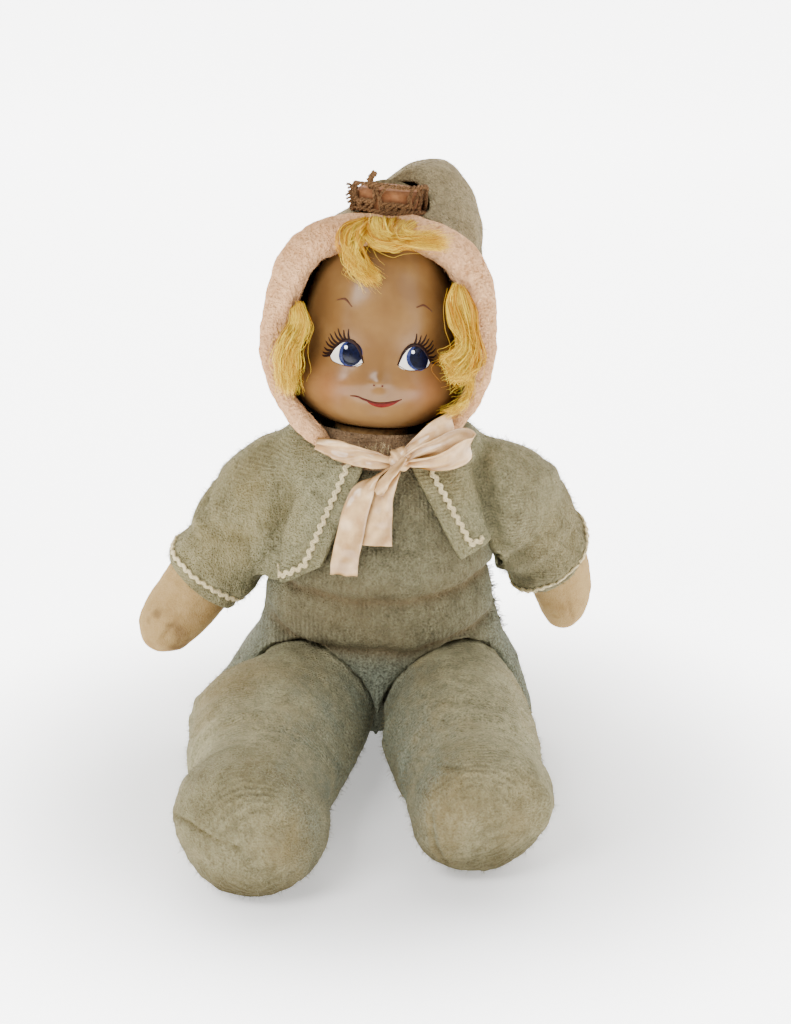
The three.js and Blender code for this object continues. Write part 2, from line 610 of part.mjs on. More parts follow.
const headShell = headOuter.subtract(headInner)
  .subtract(solid(drum(PLUG_RADIUS + SEAT_GAP, -5, PLUG_LENGTH + 1, 28)))
  .subtract(solid(drum(TOP_PLUG_RADIUS + SEAT_GAP, HEAD_HEIGHT - PLUG_LENGTH - 1, HEAD_HEIGHT + 5, 20)));
add(headFrame, 'head_shell', COLOURS.skin, geometryOf(headShell), 0.35);

// The room that the head sweeps as it turns, which the brim and the locks of hair stay out of
const sweptHead = revolve([
  [0, -2],
  ...headRows.map((outline) => [
    Math.max(...headAngles.map((angle) => headRadius(outline, angle))) + TURN_GAP,
    outline.y * HEAD_HEIGHT + SEAT_GAP + TURN_GAP * (outline.y > 0.5 ? 1 : -1),
  ]),
  [0, HEAD_HEIGHT + TURN_GAP],
], 40);
const headRoom = solid(sweptHead);

// Hood geometry that the turning gear needs: the hood's top carries the knob above it
const hoodMiddle = vec(0, 4, 0.51 * HEAD_HEIGHT);
const hoodTop = HEAD_HEIGHT + HOOD_TOP_ROOM + HOOD_CLOTH;
const knobBottom = hoodTop + SEAT_GAP + 0.4;
const dowelTop = knobBottom + 0.7 * KNOB_HEIGHT;

const dowelHole = drum(COTTER_RADIUS + SEAT_GAP, -2 * DOWEL_RADIUS, 2 * DOWEL_RADIUS, 10)
  .rotateY(Math.PI / 2).translate(0, 0, cotterLevel);
const dowel = solid(drum(DOWEL_RADIUS, -DOWEL_REACH, dowelTop, 16)).subtract(solid(dowelHole));
add(headFrame, 'turning_dowel', COLOURS.wood, geometryOf(dowel), 0.7);

const plugHole = DOWEL_RADIUS + SEAT_GAP;
add(headFrame, 'head_base_plug', COLOURS.wood, washer(plugHole, PLUG_RADIUS, 0.1, PLUG_LENGTH), 0.7);
add(headFrame, 'head_top_plug', COLOURS.wood,
  washer(plugHole, TOP_PLUG_RADIUS, HEAD_HEIGHT - PLUG_LENGTH, HEAD_HEIGHT, 16), 0.7);
add(headFrame, 'neck_disc', COLOURS.wood,
  washer(plugHole, NECK_DISC_RADIUS, neckTop + SEAT_GAP, neckTop + SEAT_GAP + NECK_DISC_THICKNESS), 0.7);
add(headFrame, 'neck_cloth', COLOURS.neck, revolve([
  [tubeOuter + SEAT_GAP, neckCut + SEAT_GAP],
  [NECK_WIDTH / 2, neckCut + SEAT_GAP],
  [NECK_WIDTH / 2 - 1, lerp(neckCut, neckTop, 0.6)],
  [NECK_DISC_RADIUS + 1, neckTop],
  [tubeOuter + SEAT_GAP, neckTop],
  [tubeOuter + SEAT_GAP, neckCut + SEAT_GAP],
], 24));
add(headFrame, 'guide_tube', COLOURS.card, washer(tubeInner, tubeOuter, tubeBottom, tubeTop, 16));
add(headFrame, 'dowel_washer', COLOURS.steel,
  washer(plugHole, WASHER_RADIUS, washerTop - WASHER_THICKNESS, washerTop, 16), 0.4, 0.9);

// Split pin: a shank through the dowel with an eye at one end
const cotterHalf = COTTER_LENGTH / 2;
const cotterShank = solid(drum(COTTER_RADIUS, -cotterHalf, cotterHalf, 8).rotateY(Math.PI / 2));
const cotterEye = solid(new THREE.TorusGeometry(2, 0.8, 6, 12).translate(cotterHalf + 1.4, 0, 0));
add(headFrame, 'cotter_pin', COLOURS.steel,
  geometryOf(cotterShank.add(cotterEye)).translate(0, 0, cotterLevel), 0.4, 0.9);

// Knob with a blind hole for the dowel, a rounded rim, and a groove that the braid lies in
const braidInner = KNOB_RADIUS - 0.8 + SEAT_GAP;
const knobTop = knobBottom + KNOB_HEIGHT;
const knob = revolve([
  [0, dowelTop + SEAT_GAP],
  [plugHole, dowelTop + SEAT_GAP],
  [plugHole, knobBottom],
  [KNOB_RADIUS - 1.5, knobBottom],
  [KNOB_RADIUS, knobBottom + 0.8],
  [KNOB_RADIUS - 0.8, knobBottom + 1.2],
  [KNOB_RADIUS - 0.8, knobTop - 3],
  [KNOB_RADIUS - 2, knobTop - 1.4],
  [0.6 * KNOB_RADIUS, knobTop - 0.2],
  [0, knobTop],
], 24);
add(headFrame, 'turning_knob', COLOURS.skin, knob, 0.45);
const braidLow = knobBottom + 1.6;
const braidHigh = knobTop - 2.6;
const braidBand = solid(washer(braidInner, braidInner + BRAID_WALL, braidLow, braidHigh, 30));
const braidHoles = range(BRAID_HOLES, (k) => {
  const turn = ((k + 0.35 * (k % 2)) / BRAID_HOLES) * 2 * Math.PI;
  const hole = drum(2.1, 0, 3 * KNOB_RADIUS, 8).scale(0.75, 1.3, 1).rotateY(Math.PI / 2).rotateZ(turn);
  return solid(hole.translate(0, 0, lerp(braidLow, braidHigh, 0.5)));
});
add(headFrame, 'knob_braid', COLOURS.braid,
  geometryOf(braidHoles.reduce((band, hole) => band.subtract(hole), braidBand)));

// Brim: a fleece roll round the face, open under the chin, where its two ends meet the jacket
const BRIM_OPEN = 24; // degrees left open each side of the middle, under the chin
const brimReach = CHEEK_RADIUS + HOOD_ROOM;
const brimTop = hoodTop - BRIM_WIDTH / 2 + 1;
const brimBottom = -10;
function brimPoint(turn) {
  const [sin, cos] = [Math.sin(turn), Math.cos(turn)];
  const height = 0.46 * HEAD_HEIGHT;
  const tall = cos > 0 ? height - brimBottom : brimTop - height;
  const forward = lerp(-25, -13, (1 - cos) / 2);
  const power = 2 / lerp(2, BRIM_BOX, smoothstep(-cos, 0, 0.5));
  const square = (share) => Math.sign(share) * Math.abs(share) ** power;
  return vec(-brimReach * square(sin), forward, height - tall * square(cos));
}
const brimPath = new THREE.CatmullRomCurve3(range(25, (k) => (
  brimPoint(degToRad(lerp(BRIM_OPEN, 360 - BRIM_OPEN, k / 24))))));
const brimSection = (grow) => (t) => {
  const end = Math.min(t, 1 - t) / 0.025;
  const round = end < 1 ? Math.max(Math.sqrt(1 - (1 - end) ** 2), 0.25) : 1;
  const thin = 0.78 + 0.22 * smoothstep(Math.min(t, 1 - t), 0, 0.16);
  return [(BRIM_WIDTH / 2) * round * thin + grow, (BRIM_DEPTH / 2) * round * thin + grow];
};
const jacketFace = jacketOff + JACKET_CLOTH / 2;
const overJacket = torsoSolid(jacketFace + SEAT_GAP + FACET_ROOM, JACKET_HEM, TORSO_HEIGHT, 24, 9);
const overBody = overJacket.add(armRoom);
const shouldersInHead = solid(geometryOf(overBody), fromHeadFrame);
const brimWhole = (grow) => solid(tube(brimPath, 38, 8, brimSection(grow)));
const brim = brimWhole(0).subtract(headRoom).subtract(shouldersInHead);
add(headFrame, 'hood_brim', COLOURS.fleece, geometryOf(brim));

// Hood: a bag behind the brim, boxy enough to reach the collar, drawn up into a peak at the back
const PEAK = vec(0.29, 0.42, 0.86).normalize();
const PEAK_SPREAD = 0.42; // radians
const HOOD_BOX = 2.6; // exponent of its section below: 2 is an ellipsoid
function hoodPoint(way, grow) {
  const wide = CHEEK_RADIUS + HOOD_ROOM + HOOD_CLOTH;
  const tall = way.z > 0 ? hoodTop - hoodMiddle.z : hoodMiddle.z + HOOD_DROP;
  const box = lerp(HOOD_BOX, 2.28, smoothstep(way.z, -0.2, 0.5));
  const reach = ((Math.abs(way.x) / wide) ** box + (Math.abs(way.y) / wide) ** box
    + (Math.abs(way.z) / tall) ** box) ** (-1 / box);
  const peak = PEAK_HEIGHT * bell(way.angleTo(PEAK), PEAK_SPREAD);
  return way.clone().multiplyScalar(reach + peak + grow).add(hoodMiddle);
}
function hoodSolid(grow, columns, rows) {
  const aside = vec(1, 0, 0).projectOnPlane(PEAK).normalize();
  const behind = PEAK.clone().cross(aside);
  return solid(loft(range(rows, (k) => {
    const polar = degToRad(165) * ((k + 0.5) / (rows - 0.5)) ** 1.2;
    return ring(columns, (turn) => {
      const outward = aside.clone().multiplyScalar(Math.cos(turn)).addScaledVector(behind, Math.sin(turn));
      const way = PEAK.clone().multiplyScalar(Math.cos(polar)).addScaledVector(outward, Math.sin(polar));
      return hoodPoint(way, grow);
    });
  })));
}
const hoodCavity = hoodSolid(-HOOD_CLOTH, 22, 13);
const knobRoom = drum(braidInner + BRAID_WALL + TURN_GAP, knobBottom - SEAT_GAP, 2 * HEAD_HEIGHT, 24);
const hoodMouth = solid(drum(NECK_WIDTH / 2 + 2, -40, 20, 24))
  .add(solid(drum(KNOB_HOLE, 0.8 * HEAD_HEIGHT, 2 * HEAD_HEIGHT))).add(solid(knobRoom));
const hoodFront = solid(new THREE.BoxGeometry(200, 100, 300).translate(0, -50 - 0.55 * BRIM_DEPTH, 50));
const hood = hoodSolid(0, 22, 13).subtract(hoodCavity).subtract(hoodMouth).subtract(hoodFront)
  .subtract(brimWhole(SEAT_GAP)).subtract(shouldersInHead);
add(headFrame, 'hood_shell', COLOURS.flannel, geometryOf(hood));

// Locks of mohair sewn inside the brim, each a bunch of tapering strands
function lock(points, radius) {
  const curve = new THREE.CatmullRomCurve3(points.map(([x, y, z]) => vec(x, y, z)));
  return solid(tube(curve, 6, 6, (t) => {
    const fat = radius * (0.35 + 0.65 * Math.sin(Math.PI * Math.min(t * 0.8 + 0.12, 1)));
    return [fat, 0.7 * fat];
  }));
}
const hairRoom = headRoom.add(brimWhole(SEAT_GAP));
const tuft = (locks) => geometryOf(locks.reduce((sum, next) => sum.add(next)).subtract(hairRoom));
const crown = brimTop - BRIM_WIDTH / 2;
const rootY = brimPoint(Math.PI).y - 0.3 * BRIM_DEPTH;
const fringeX = -0.25 * FRINGE_WIDTH;
function fringeLock(from, to, drop) {
  const rootX = fringeX + from * FRINGE_WIDTH;
  const tipX = fringeX + to * FRINGE_WIDTH;
  const hang = drop * FRINGE_LENGTH;
  return lock([
    [rootX, rootY, crown + 3],
    [lerp(rootX, tipX, 0.7), rootY - 9 - 2 * drop, crown - 0.35 * hang],
    [tipX, rootY - 9 - 6 * drop, crown - hang],
  ], LOCK_RADIUS);
}
add(headFrame, 'hair_top', COLOURS.mohair, tuft([
  fringeLock(-0.1, -0.35, 0.6),
  fringeLock(0, 0.15, 1),
  fringeLock(0.1, 0.75, 0.5),
]));
const templeX = brimReach - BRIM_WIDTH / 2;
const templeZ = 0.62 * HEAD_HEIGHT;
function sideTuft(sign, length) {
  const at = (inward, y, share) => [sign * (templeX - inward), y, templeZ - share * length];
  return tuft([
    lock([at(3, -22, 0), at(2, -25, 0.4), at(4, -24, 0.85)], LOCK_RADIUS),
    lock([at(7, -24, 0.2), at(1, -26, 0.6), at(5, -25, 1)], LOCK_RADIUS),
  ]);
}
Object.entries(SIDES).forEach(([side, { sign }]) => {
  add(headFrame, `hair_${side}`, COLOURS.mohair, sideTuft(sign, LOCK_LENGTHS[side]));
});
doll.add(headFrame);

// Ribbon: a band from each end of the brim to the knot, one loop and two tails over the chest
const knotX = 9;
const knotZ = TORSO_HEIGHT - 1;
const chestLift = JACKET_CLOTH + 3 * SEAT_GAP + KNOT_RADIUS + 1;
const knotAt = torsoFront(knotX, knotZ, chestLift);
const knot = new THREE.SphereGeometry(KNOT_RADIUS, 14, 10)
  .scale(1, 0.8, 0.95).translate(...knotAt.toArray());
add(doll, 'ribbon_knot', COLOURS.satin, knot, 0.4);
const knotRoom = solid(new THREE.SphereGeometry(KNOT_RADIUS + SEAT_GAP, 14, 10)
  .scale(1, 0.82, 0.97).translate(...knotAt.toArray()));

function ribbon(name, line, twist, columns = 12) {
  const curve = new THREE.CatmullRomCurve3(line);
  const sheet = slab(columns, 2, RIBBON_THICKNESS, (u, v) => {
    const angle = degToRad(twist(u));
    const narrow = RIBBON_WIDTH * (0.45 + 0.55 * smoothstep(u, 0, 0.3));
    const across = vec(Math.cos(angle), 0, Math.sin(angle)).multiplyScalar((v - 0.5) * narrow);
    return curve.getPoint(u).add(across);
  });
  const brimInDoll = solid(geometryOf(brimWhole(SEAT_GAP)), inHeadFrame);
  add(doll, name, COLOURS.satin, geometryOf(solid(sheet).subtract(knotRoom).subtract(brimInDoll)), 0.4);
}
const brimEnd = (t) => brimPath.getPointAt(t).applyMatrix4(inHeadFrame);
const bandStart = (t) => brimEnd(t).add(vec(0, -0.3 * BRIM_DEPTH, -1));
const fromKnot = (x, y, z) => knotAt.clone().add(vec(x, y, z));
const bandLine = (start, end) => [start, start.clone().lerp(end, 0.5).add(vec(0, -2, -4)), end];
ribbon('ribbon_left_band', bandLine(fromKnot(-1, 1.5, 2), bandStart(0.03)), () => 72);
ribbon('ribbon_right_band', bandLine(fromKnot(1, 2.5, 3), bandStart(0.965)), (u) => lerp(100, 130, u));
ribbon('ribbon_loop', [fromKnot(2, -1, 1.5), fromKnot(14, -6, 1), fromKnot(27, -4.5, 3)], () => 82);
function tail(length, toX, layer) {
  const foot = torsoFront(toX, knotZ - length, JACKET_CLOTH + 4 * SEAT_GAP + HEM_FLARE + layer);
  const middle = torsoFront(lerp(knotX, toX, 0.45), knotZ - 0.45 * length, chestLift + layer);
  return [fromKnot(0, -layer, 0), middle, foot];
}
ribbon('ribbon_long_tail', tail(LONG_TAIL, -19, 2.4), () => 6);
ribbon('ribbon_short_tail', tail(SHORT_TAIL, -3, 0), () => -4);

export default doll;
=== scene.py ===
"""Looks of the three-faced doll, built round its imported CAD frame. Lengths in the code are millimetres."""

import json
import math

import bmesh
import bpy
import numpy as np
from mathutils import Matrix, Vector
from mathutils.bvhtree import BVHTree


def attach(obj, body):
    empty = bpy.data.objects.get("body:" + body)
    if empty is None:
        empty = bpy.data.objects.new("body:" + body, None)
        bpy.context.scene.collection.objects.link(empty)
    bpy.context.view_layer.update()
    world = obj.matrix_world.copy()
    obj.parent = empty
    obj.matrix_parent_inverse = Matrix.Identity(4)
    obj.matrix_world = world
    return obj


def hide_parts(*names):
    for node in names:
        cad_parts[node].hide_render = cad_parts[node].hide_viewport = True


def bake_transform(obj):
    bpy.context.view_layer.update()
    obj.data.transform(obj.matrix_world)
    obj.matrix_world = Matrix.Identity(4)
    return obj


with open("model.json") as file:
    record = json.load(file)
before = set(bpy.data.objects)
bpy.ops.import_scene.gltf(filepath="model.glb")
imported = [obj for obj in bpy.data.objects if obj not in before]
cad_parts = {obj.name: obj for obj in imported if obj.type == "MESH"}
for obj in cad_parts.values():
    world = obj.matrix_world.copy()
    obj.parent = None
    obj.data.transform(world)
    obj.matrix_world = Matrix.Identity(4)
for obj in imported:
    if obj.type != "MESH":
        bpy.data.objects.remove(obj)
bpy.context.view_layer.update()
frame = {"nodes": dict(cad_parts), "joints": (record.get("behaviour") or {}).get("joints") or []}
scene = bpy.context.scene
rng = np.random.default_rng(11)
MM = 0.001
TINY = 1e-9

# Head, as the frame's part has it
HEAD_HEIGHT = 86
CHEEK_RADIUS = 31.8
SMILING, SLEEPING, CRYING = range(3)  # the faces, from the front one round
FACE_TURN = 1.5  # how far the front face stands round to the doll's left, along the cheek
NOSE_HEIGHT = 2.6
NOSE_LEVEL = 0.255 * HEAD_HEIGHT
NOSTRILS, NOSTRIL_LEVEL = (-2.1, 1.2), 21.3
EYE_LEVEL = 33.3
EYE_SPACING = 29.4
BROW_LEVEL = 54.5
BROW_OUT = 18
MOUTH_LEVEL = 14.6
BLUSH_LEVEL = 20
BLUSH_OUT = 19
FULL_CHEEKS = 5.6  # how far the cheeks stand out beyond the frame's, beside each face
FULL_BROW = 1.8
HEAD_RISE = 0.3  # of the moulding above its joint
HEAD_COLUMNS, HEAD_ROWS = 330, 170
UNDER = -0.4  # how far the rim of a film of paint goes into the head
FILM_STEPS, FILM_ROWS = 24, 9

# Stuffed pieces
TORSO_VOXEL, LEG_VOXEL, ARM_VOXEL = 1.6, 1.3, 1.2
FOLD_LEVEL = 87  # where the bodice hangs over the belly
BELLY_CREASE = 61
BODY_HALF = 38
CROTCH = -2
ON_FLOOR = 0.2
ABOVE_FLOOR = 0.15
LAP_GAP = 3.2  # nearer than this, the thighs swell to lie against the body
LAP = -48  # behind this the thighs lie against the body, and their nap is worn off
ARM_LENGTH = 91
SIDES = {  # each arm's way and bow, and the edges of its half of the jacket, whose hem hangs askew by tilt
    "left": {"sign": -1, "out": 37, "back": 4, "bow": 1,
             "edge_top": -7, "edge_hem": -25.5, "hem": 101.5, "tilt": 0.6},
    "right": {"sign": 1, "out": 36.5, "back": 33, "bow": 26,
              "edge_top": 13.5, "edge_hem": 35, "hem": 102.5, "tilt": 0.34},
}
LEG_SEAMS = {
    "left": [[(-82, -150, 34), (-78, -162, 37), (-71, -169, 36), (-64, -173, 33), (-56, -174, 30)]],
    "right": [[(11, -95, 38), (12, -114, 40), (18, -151, 44), (20, -156, 35), (21, -156, 24), (25, -153, 11)],
              [(14, -121, 43), (26, -148, 53), (41, -151, 53), (53, -150, 50)]],
}
LEG_SHAPING = {  # where the stuffing is fuller or thinner: a place, its reach and the rise
    "left": [((-85, -74, 36), 20, -4), ((-80, -138, 38), 20, 2.5)],
    "right": [((45, -156, 6), 26, -4.5), ((66, -150, 14), 18, -2)],
}
FOOT_SOIL = {"left": 0.42, "right": 0.2}
# painted shade: how much darker each sleeve's outer part is, most on the right, away from the key light
SLEEVE_SHADE = {"left": 0.04, "right": 0.2}

# Clothes, ribbon, knob's band and hair
JACKET_VOXEL = 1.8
JACKET_OVER = 4.2  # from the bodice to the outside of the jacket
JACKET_CLOTH = 2.2
COLLAR = 142.3
NECKLINE_RISE = 0.57  # of the jacket's neckline, from the knot out to the brim
YOKE_LIFT = 8  # how far the jacket rises from the collar to the brim, over the shoulders
CHEST_BELOW = 18  # how far the chest goes on under the lower hem
SLEEVE_LENGTH = 51
ARMHOLES = {  # seen from the front
    "left": [(-44, 0, 92), (-43, 0, 104), (-42, 0, 116), (-39, 0, 128)],
    "right": [(50, 0, 103), (48, 0, 114), (46, 0, 124), (43, 0, 134)],
}
EDGE_INSET = 6.5  # from the jacket's open edge to the middle of its trim
HEM_INSET = 3.4
CUFF_INSET = 6.5
TRIM_WIDTH = 2.8
TRIM_WAVE = 3.9
TRIM_STEP = 0.4
HEM_REACH = 44  # how far out the trim follows the hem
RAY_START = 200  # outside the doll on every side
NECK_RADIUS, NECK_TAPER = 29, 5.5
NECK_LOW, NECK_TALL = -15, 13.8
NECK_CLOTH = 2.0
NECK_COLUMNS, NECK_ROWS = 96, 22
BRIM_OPEN = math.radians(22)
BRIM_REACH = CHEEK_RADIUS + 11
BRIM_LOW, BRIM_HIGH, BRIM_MIDDLE = -10, 84.5, 39.6
BRIM_WIDE, BRIM_DEEP = 15.5, 14
BRIM_FRONT = -25
BRIM_ROWS, BRIM_COLUMNS = 190, 44
HOOD_VOXEL = 1.3
KNOB_GAP = 17.4  # from the head's axis to the hood's cloth, at the knob
LINING_DEPTH = 34
LINING_ROWS = 8
RIBBON_WIDTH = 11.5
RIBBON_CLOTH = 0.45
RIBBON_COLUMNS, RIBBON_STEPS = 11, 48
KNOT_VOXEL = 0.6
BAND_LOW, BAND_HIGH, BAND_RADIUS = 92.6, 103.6, 15.5
CHAIN_PITCH = 2.4
WELL_LEVEL, WELL_HEIGHT, WELL_RISE = 91.6, 7.2, 5  # the cloth behind the knob
HOLES = ((-52, -28, 0.45), (-4, 30, 0.35), (62, 74, 0.0))  # between two turns the lace is open above a share
CLUMP = 18  # strands to a clump of mohair
STRAND_RADIUS, NAP_RADIUS = 0.125, 0.09
WAVE_PER_PITCH = 0.314  # scale of a wave texture whose rows are one apart
COOL_SHADE_GREEN = ("434a40", "8d9787")  # a cooler, darker grey-green: painted shade on inner sides, in the crotch and under other cloth, where the cloth is also less yellowed

# Stage and camera
FLOOR_LEVEL = -0.05
FLOOR_NEAR, FLOOR_FAR, FLOOR_HALF = -2200, 1300, 3500
WALL_CURVE, WALL_TOP = 700, 3200
EYE_DISTANCE = 1230
ELEVATION = math.radians(24.5)
FIELD = math.radians(21.57)
AIM = Vector((7.1, 42.2, 92.5))
LIGHTS = {  # in metres: where each stands, what it looks at, its size and its power
    "key": ((-0.9, -1.3, 1.5), (0, 0, 0.12), 0.9, 33),
    "fill": ((1.2, -1.1, 0.9), (0, 0, 0.12), 1.2, 8),
    "top": ((0.1, 0.5, 1.7), (0, 0, 0.1), 1.2, 13),
    "sparkle": ((-0.35, -1.2, 1.1), (0, 0, 0.2), 0.16, 4),
}
WORLD_STRENGTH = 0.42


# Numbers and meshes

def step(x, low, high):
    t = np.clip((np.asarray(x, float) - low) / (high - low), 0, 1)
    return t * t * (3 - 2 * t)


def bell(x, width):
    return np.exp(-((np.asarray(x, float) / width) ** 2))


def unit(v):
    return v / np.maximum(np.linalg.norm(v, axis=-1, keepdims=True), TINY)


def spread(values, count):
    """Values set evenly over that many steps."""
    return np.interp(np.linspace(0, 1, count), np.linspace(0, 1, len(values)), values)


def lattice(cell, seed):
    x, y, z = (cell[:, k].astype(np.int64) for k in range(3))
    h = (x * 374761393 + y * 668265263 + z * 1440662683 + seed * 974634541) & 0xFFFFFFFF
    h = ((h ^ (h >> 13)) * 1274126177) & 0xFFFFFFFF
    return ((h ^ (h >> 16)) & 0xFFFF) / 32767.5 - 1


def noise(points, size, seed, octaves=2):
    """Smooth noise from about -1 to 1, with lumps of that size."""
    total = np.zeros(len(points))
    for k in range(octaves):
        q = np.asarray(points, float) * (2**k / np.asarray(size, float))
        base = np.floor(q)
        f = q - base
        f = f * f * (3 - 2 * f)
        for corner in np.ndindex(2, 2, 2):
            weight = np.prod(np.where(corner, f, 1 - f), axis=1)
            total += 0.5**k * weight * lattice(base + corner, seed + 31 * k)
    return total


def curve(points, count):
    """A smooth line through points, in that many steps."""
    p = np.asarray(points, float)
    p = np.vstack([2 * p[0] - p[1], p, 2 * p[-1] - p[-2]])
    t = np.linspace(0, len(points) - 1 - TINY, count)
    i = t.astype(int)
    t = (t - i)[:, None]
    a, b, c, d = p[i], p[i + 1], p[i + 2], p[i + 3]
    return 0.5 * (2 * b + (c - a) * t + (2 * a - 5 * b + 4 * c - d) * t**2 + (3 * b - a - 3 * c + d) * t**3)


def round_turns(count):
    return np.linspace(0, 2 * math.pi, count, endpoint=False)


def crossed(columns, rows):
    """Each column's value and each row's, over a grid, row by row."""
    return (grid.ravel() for grid in np.meshgrid(columns, rows))


def run(line):
    """How far along a line each of its points lies."""
    return np.r_[0, np.cumsum(np.linalg.norm(np.diff(line, axis=0), axis=1))]


def from_line(points, line):
    """How far each point lies from a smooth line."""
    far = np.full(len(points), np.inf)
    for at in curve(line, 60):
        far = np.minimum(far, np.linalg.norm(points - at, axis=1))
    return far


def grid_faces(rows, columns, closed=False, start=0):
    last = columns if closed else columns - 1
    return [
        (start + r * columns + c, start + r * columns + (c + 1) % columns,
         start + (r + 1) * columns + (c + 1) % columns, start + (r + 1) * columns + c)
        for r in range(rows - 1) for c in range(last)
    ]


def tube_faces(rows, columns, start=0):
    """Faces of a tube of rings, capped at both ends."""
    first, last = (tuple(range(at, at + columns)) for at in (start, start + (rows - 1) * columns))
    return grid_faces(rows, columns, True, start) + [first[::-1], last]


def joined(parts):
    points, faces, start = [], [], 0
    for p, f in parts:
        points.append(np.asarray(p, float))
        faces += [tuple(i + start for i in face) for face in f]
        start += len(p)
    return np.vstack(points), faces


def piece(name, shape, material):
    points, faces = shape
    mesh = bpy.data.meshes.new(name)
    mesh.from_pydata((np.asarray(points) * MM).tolist(), [], faces)
    mesh.polygons.foreach_set("use_smooth", [True] * len(mesh.polygons))
    mesh.materials.append(material)
    mesh.update()
    obj = bpy.data.objects.new(name, mesh)
    scene.collection.objects.link(obj)
    return obj


def placed(obj, body, slot_name, *node_names):
    """Sets a piece on its body and hides the CAD nodes that it stands for; the slot's name is not used."""
    if node_names:
        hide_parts(*node_names)
    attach(obj, body)
    return obj


def mesh_shape(mesh):
    co = np.empty(len(mesh.vertices) * 3)
    mesh.vertices.foreach_get("co", co)
    return co.reshape(-1, 3) / MM, [tuple(p.vertices) for p in mesh.polygons]


def node_shape(name):
    return mesh_shape(frame["nodes"][name].data)


def modified(shape, kind, **settings):
    """The shape after one mesh modifier."""
    obj = piece("work", shape, None)
    modifier = obj.modifiers.new("work", kind)
    for key, value in settings.items():
        setattr(modifier, key, value)
    done = obj.evaluated_get(bpy.context.evaluated_depsgraph_get())
    result = mesh_shape(done.to_mesh())
    mesh = obj.data
    bpy.data.objects.remove(obj)
    bpy.data.meshes.remove(mesh)
    return result


def skin(shapes, voxel):
    """One dense skin over the union of closed shapes."""
    return modified(joined(shapes), "REMESH", mode="VOXEL", voxel_size=voxel * MM)


def skin_of(node_name, voxel, rounds):
    """A relaxed skin over one CAD solid."""
    return relaxed(skin([node_shape(node_name)], voxel), rounds)


def thick(shape, cloth):
    return modified(shape, "SOLIDIFY", thickness=cloth * MM, offset=-1, use_even_offset=False)


def relaxed(shape, rounds):
    points, faces = shape
    pairs = {tuple(sorted((f[k - 1], f[k]))) for f in faces for k in range(len(f))}
    a, b = np.array(sorted(pairs)).T
    n = len(points)
    degree = np.bincount(a, minlength=n) + np.bincount(b, minlength=n)
    for _ in range(rounds):
        mean = np.stack([
            np.bincount(a, points[b, k], n) + np.bincount(b, points[a, k], n) for k in range(3)
        ], 1) / np.maximum(degree, 1)[:, None]
        points = points + 0.5 * (mean - points)
    return points, faces


def normals(shape):
    points, faces = shape
    total = np.zeros_like(points)
    for size in {len(f) for f in faces}:
        f = np.array([face for face in faces if len(face) == size])
        n = np.cross(points[f[:, 2]] - points[f[:, 0]], points[f[:, -1]] - points[f[:, 1]])
        for k in range(size):
            for axis in range(3):
                total[:, axis] += np.bincount(f[:, k], n[:, axis], len(points))
    return unit(total)


def pushed(shape, amount):
    points, faces = shape
    return points + normals(shape) * np.asarray(amount, float).reshape(-1, 1), faces


def cut(shape, cuts, cap=False):
    """Cuts along planes: each (point, normal, test), the faces that pass the test and lie ahead go."""
    points, faces = shape
    bm = bmesh.new()
    verts = [bm.verts.new(p) for p in points]
    for f in faces:
        bm.faces.new([verts[i] for i in f])
    for at, normal, test in cuts:
        chosen = [f for f in bm.faces if test(f.calc_center_median())]
        parts = set(chosen) | {e for f in chosen for e in f.edges} | {v for f in chosen for v in f.verts}
        bmesh.ops.bisect_plane(bm, geom=list(parts), plane_co=at, plane_no=normal)
        at, normal = Vector(at), Vector(normal)
        middles = ((f, f.calc_center_median()) for f in bm.faces)
        ahead = [f for f, c in middles if test(c) and (c - at).dot(normal) > 0]
        bmesh.ops.delete(bm, geom=ahead, context="FACES")
    if cap:
        bmesh.ops.holes_fill(bm, edges=[e for e in bm.edges if e.is_boundary])
    bmesh.ops.delete(bm, geom=[v for v in bm.verts if not v.link_faces], context="VERTS")
    bm.verts.index_update()
    result = np.array([v.co for v in bm.verts]), [tuple(v.index for v in f.verts) for f in bm.faces]
    bm.free()
    return result


def tubes(paths, radii, sides=4):
    """Closed round strands, one along each path."""
    paths = np.asarray(paths, float)
    n, m, _ = paths.shape
    radii = np.broadcast_to(np.asarray(radii, float), (n, m))
    along = unit(np.gradient(paths, axis=1))
    side = np.cross(along, [0.31, 0.17, 0.93])
    weak = np.linalg.norm(side, axis=2, keepdims=True) < 0.2
    side = unit(np.where(weak, np.cross(along, [0.9, 0.4, 0.1]), side))
    other = np.cross(along, side)
    turn = np.arange(sides) * 2 * np.pi / sides
    ring = np.cos(turn)[:, None] * side[:, :, None] + np.sin(turn)[:, None] * other[:, :, None]
    points = paths[:, :, None] + radii[:, :, None, None] * ring
    faces = [face for k in range(n) for face in tube_faces(m, sides, k * m * sides)]
    return points.reshape(-1, 3), faces


def strip(line, across, width, thickness, columns=5, crown=0.0):
    """A closed flat band along a line.

    across is the unit way over its width, and crown how far its middle bulges."""
    line, across = np.asarray(line, float), np.asarray(across, float)
    face = unit(np.cross(np.gradient(line, axis=0), across))
    width, crown = (np.broadcast_to(np.asarray(v, float), len(line)) for v in (width, crown))
    share = np.linspace(-0.5, 0.5, columns)
    flat = line[:, None] + across[:, None] * (width[:, None] * share)[:, :, None]
    flat = flat + face[:, None] * (crown[:, None] * (1 - 2 * np.abs(share)))[:, :, None]
    off = 0.5 * thickness * face[:, None]
    ring = np.concatenate([flat + off, (flat - off)[:, ::-1]], axis=1)
    return ring.reshape(-1, 3), tube_faces(len(line), 2 * columns)


def tree_of(points, faces):
    return BVHTree.FromPolygons([tuple(p) for p in points], faces)


def marked(obj, **marks):
    """Keeps a number for each point, which the material reads by its name."""
    for name, values in marks.items():
        attribute = obj.data.attributes.new(name, "FLOAT", "POINT")
        attribute.data.foreach_set("value", np.clip(values, 0, 1).astype(np.float32))


# Materials, all from nodes

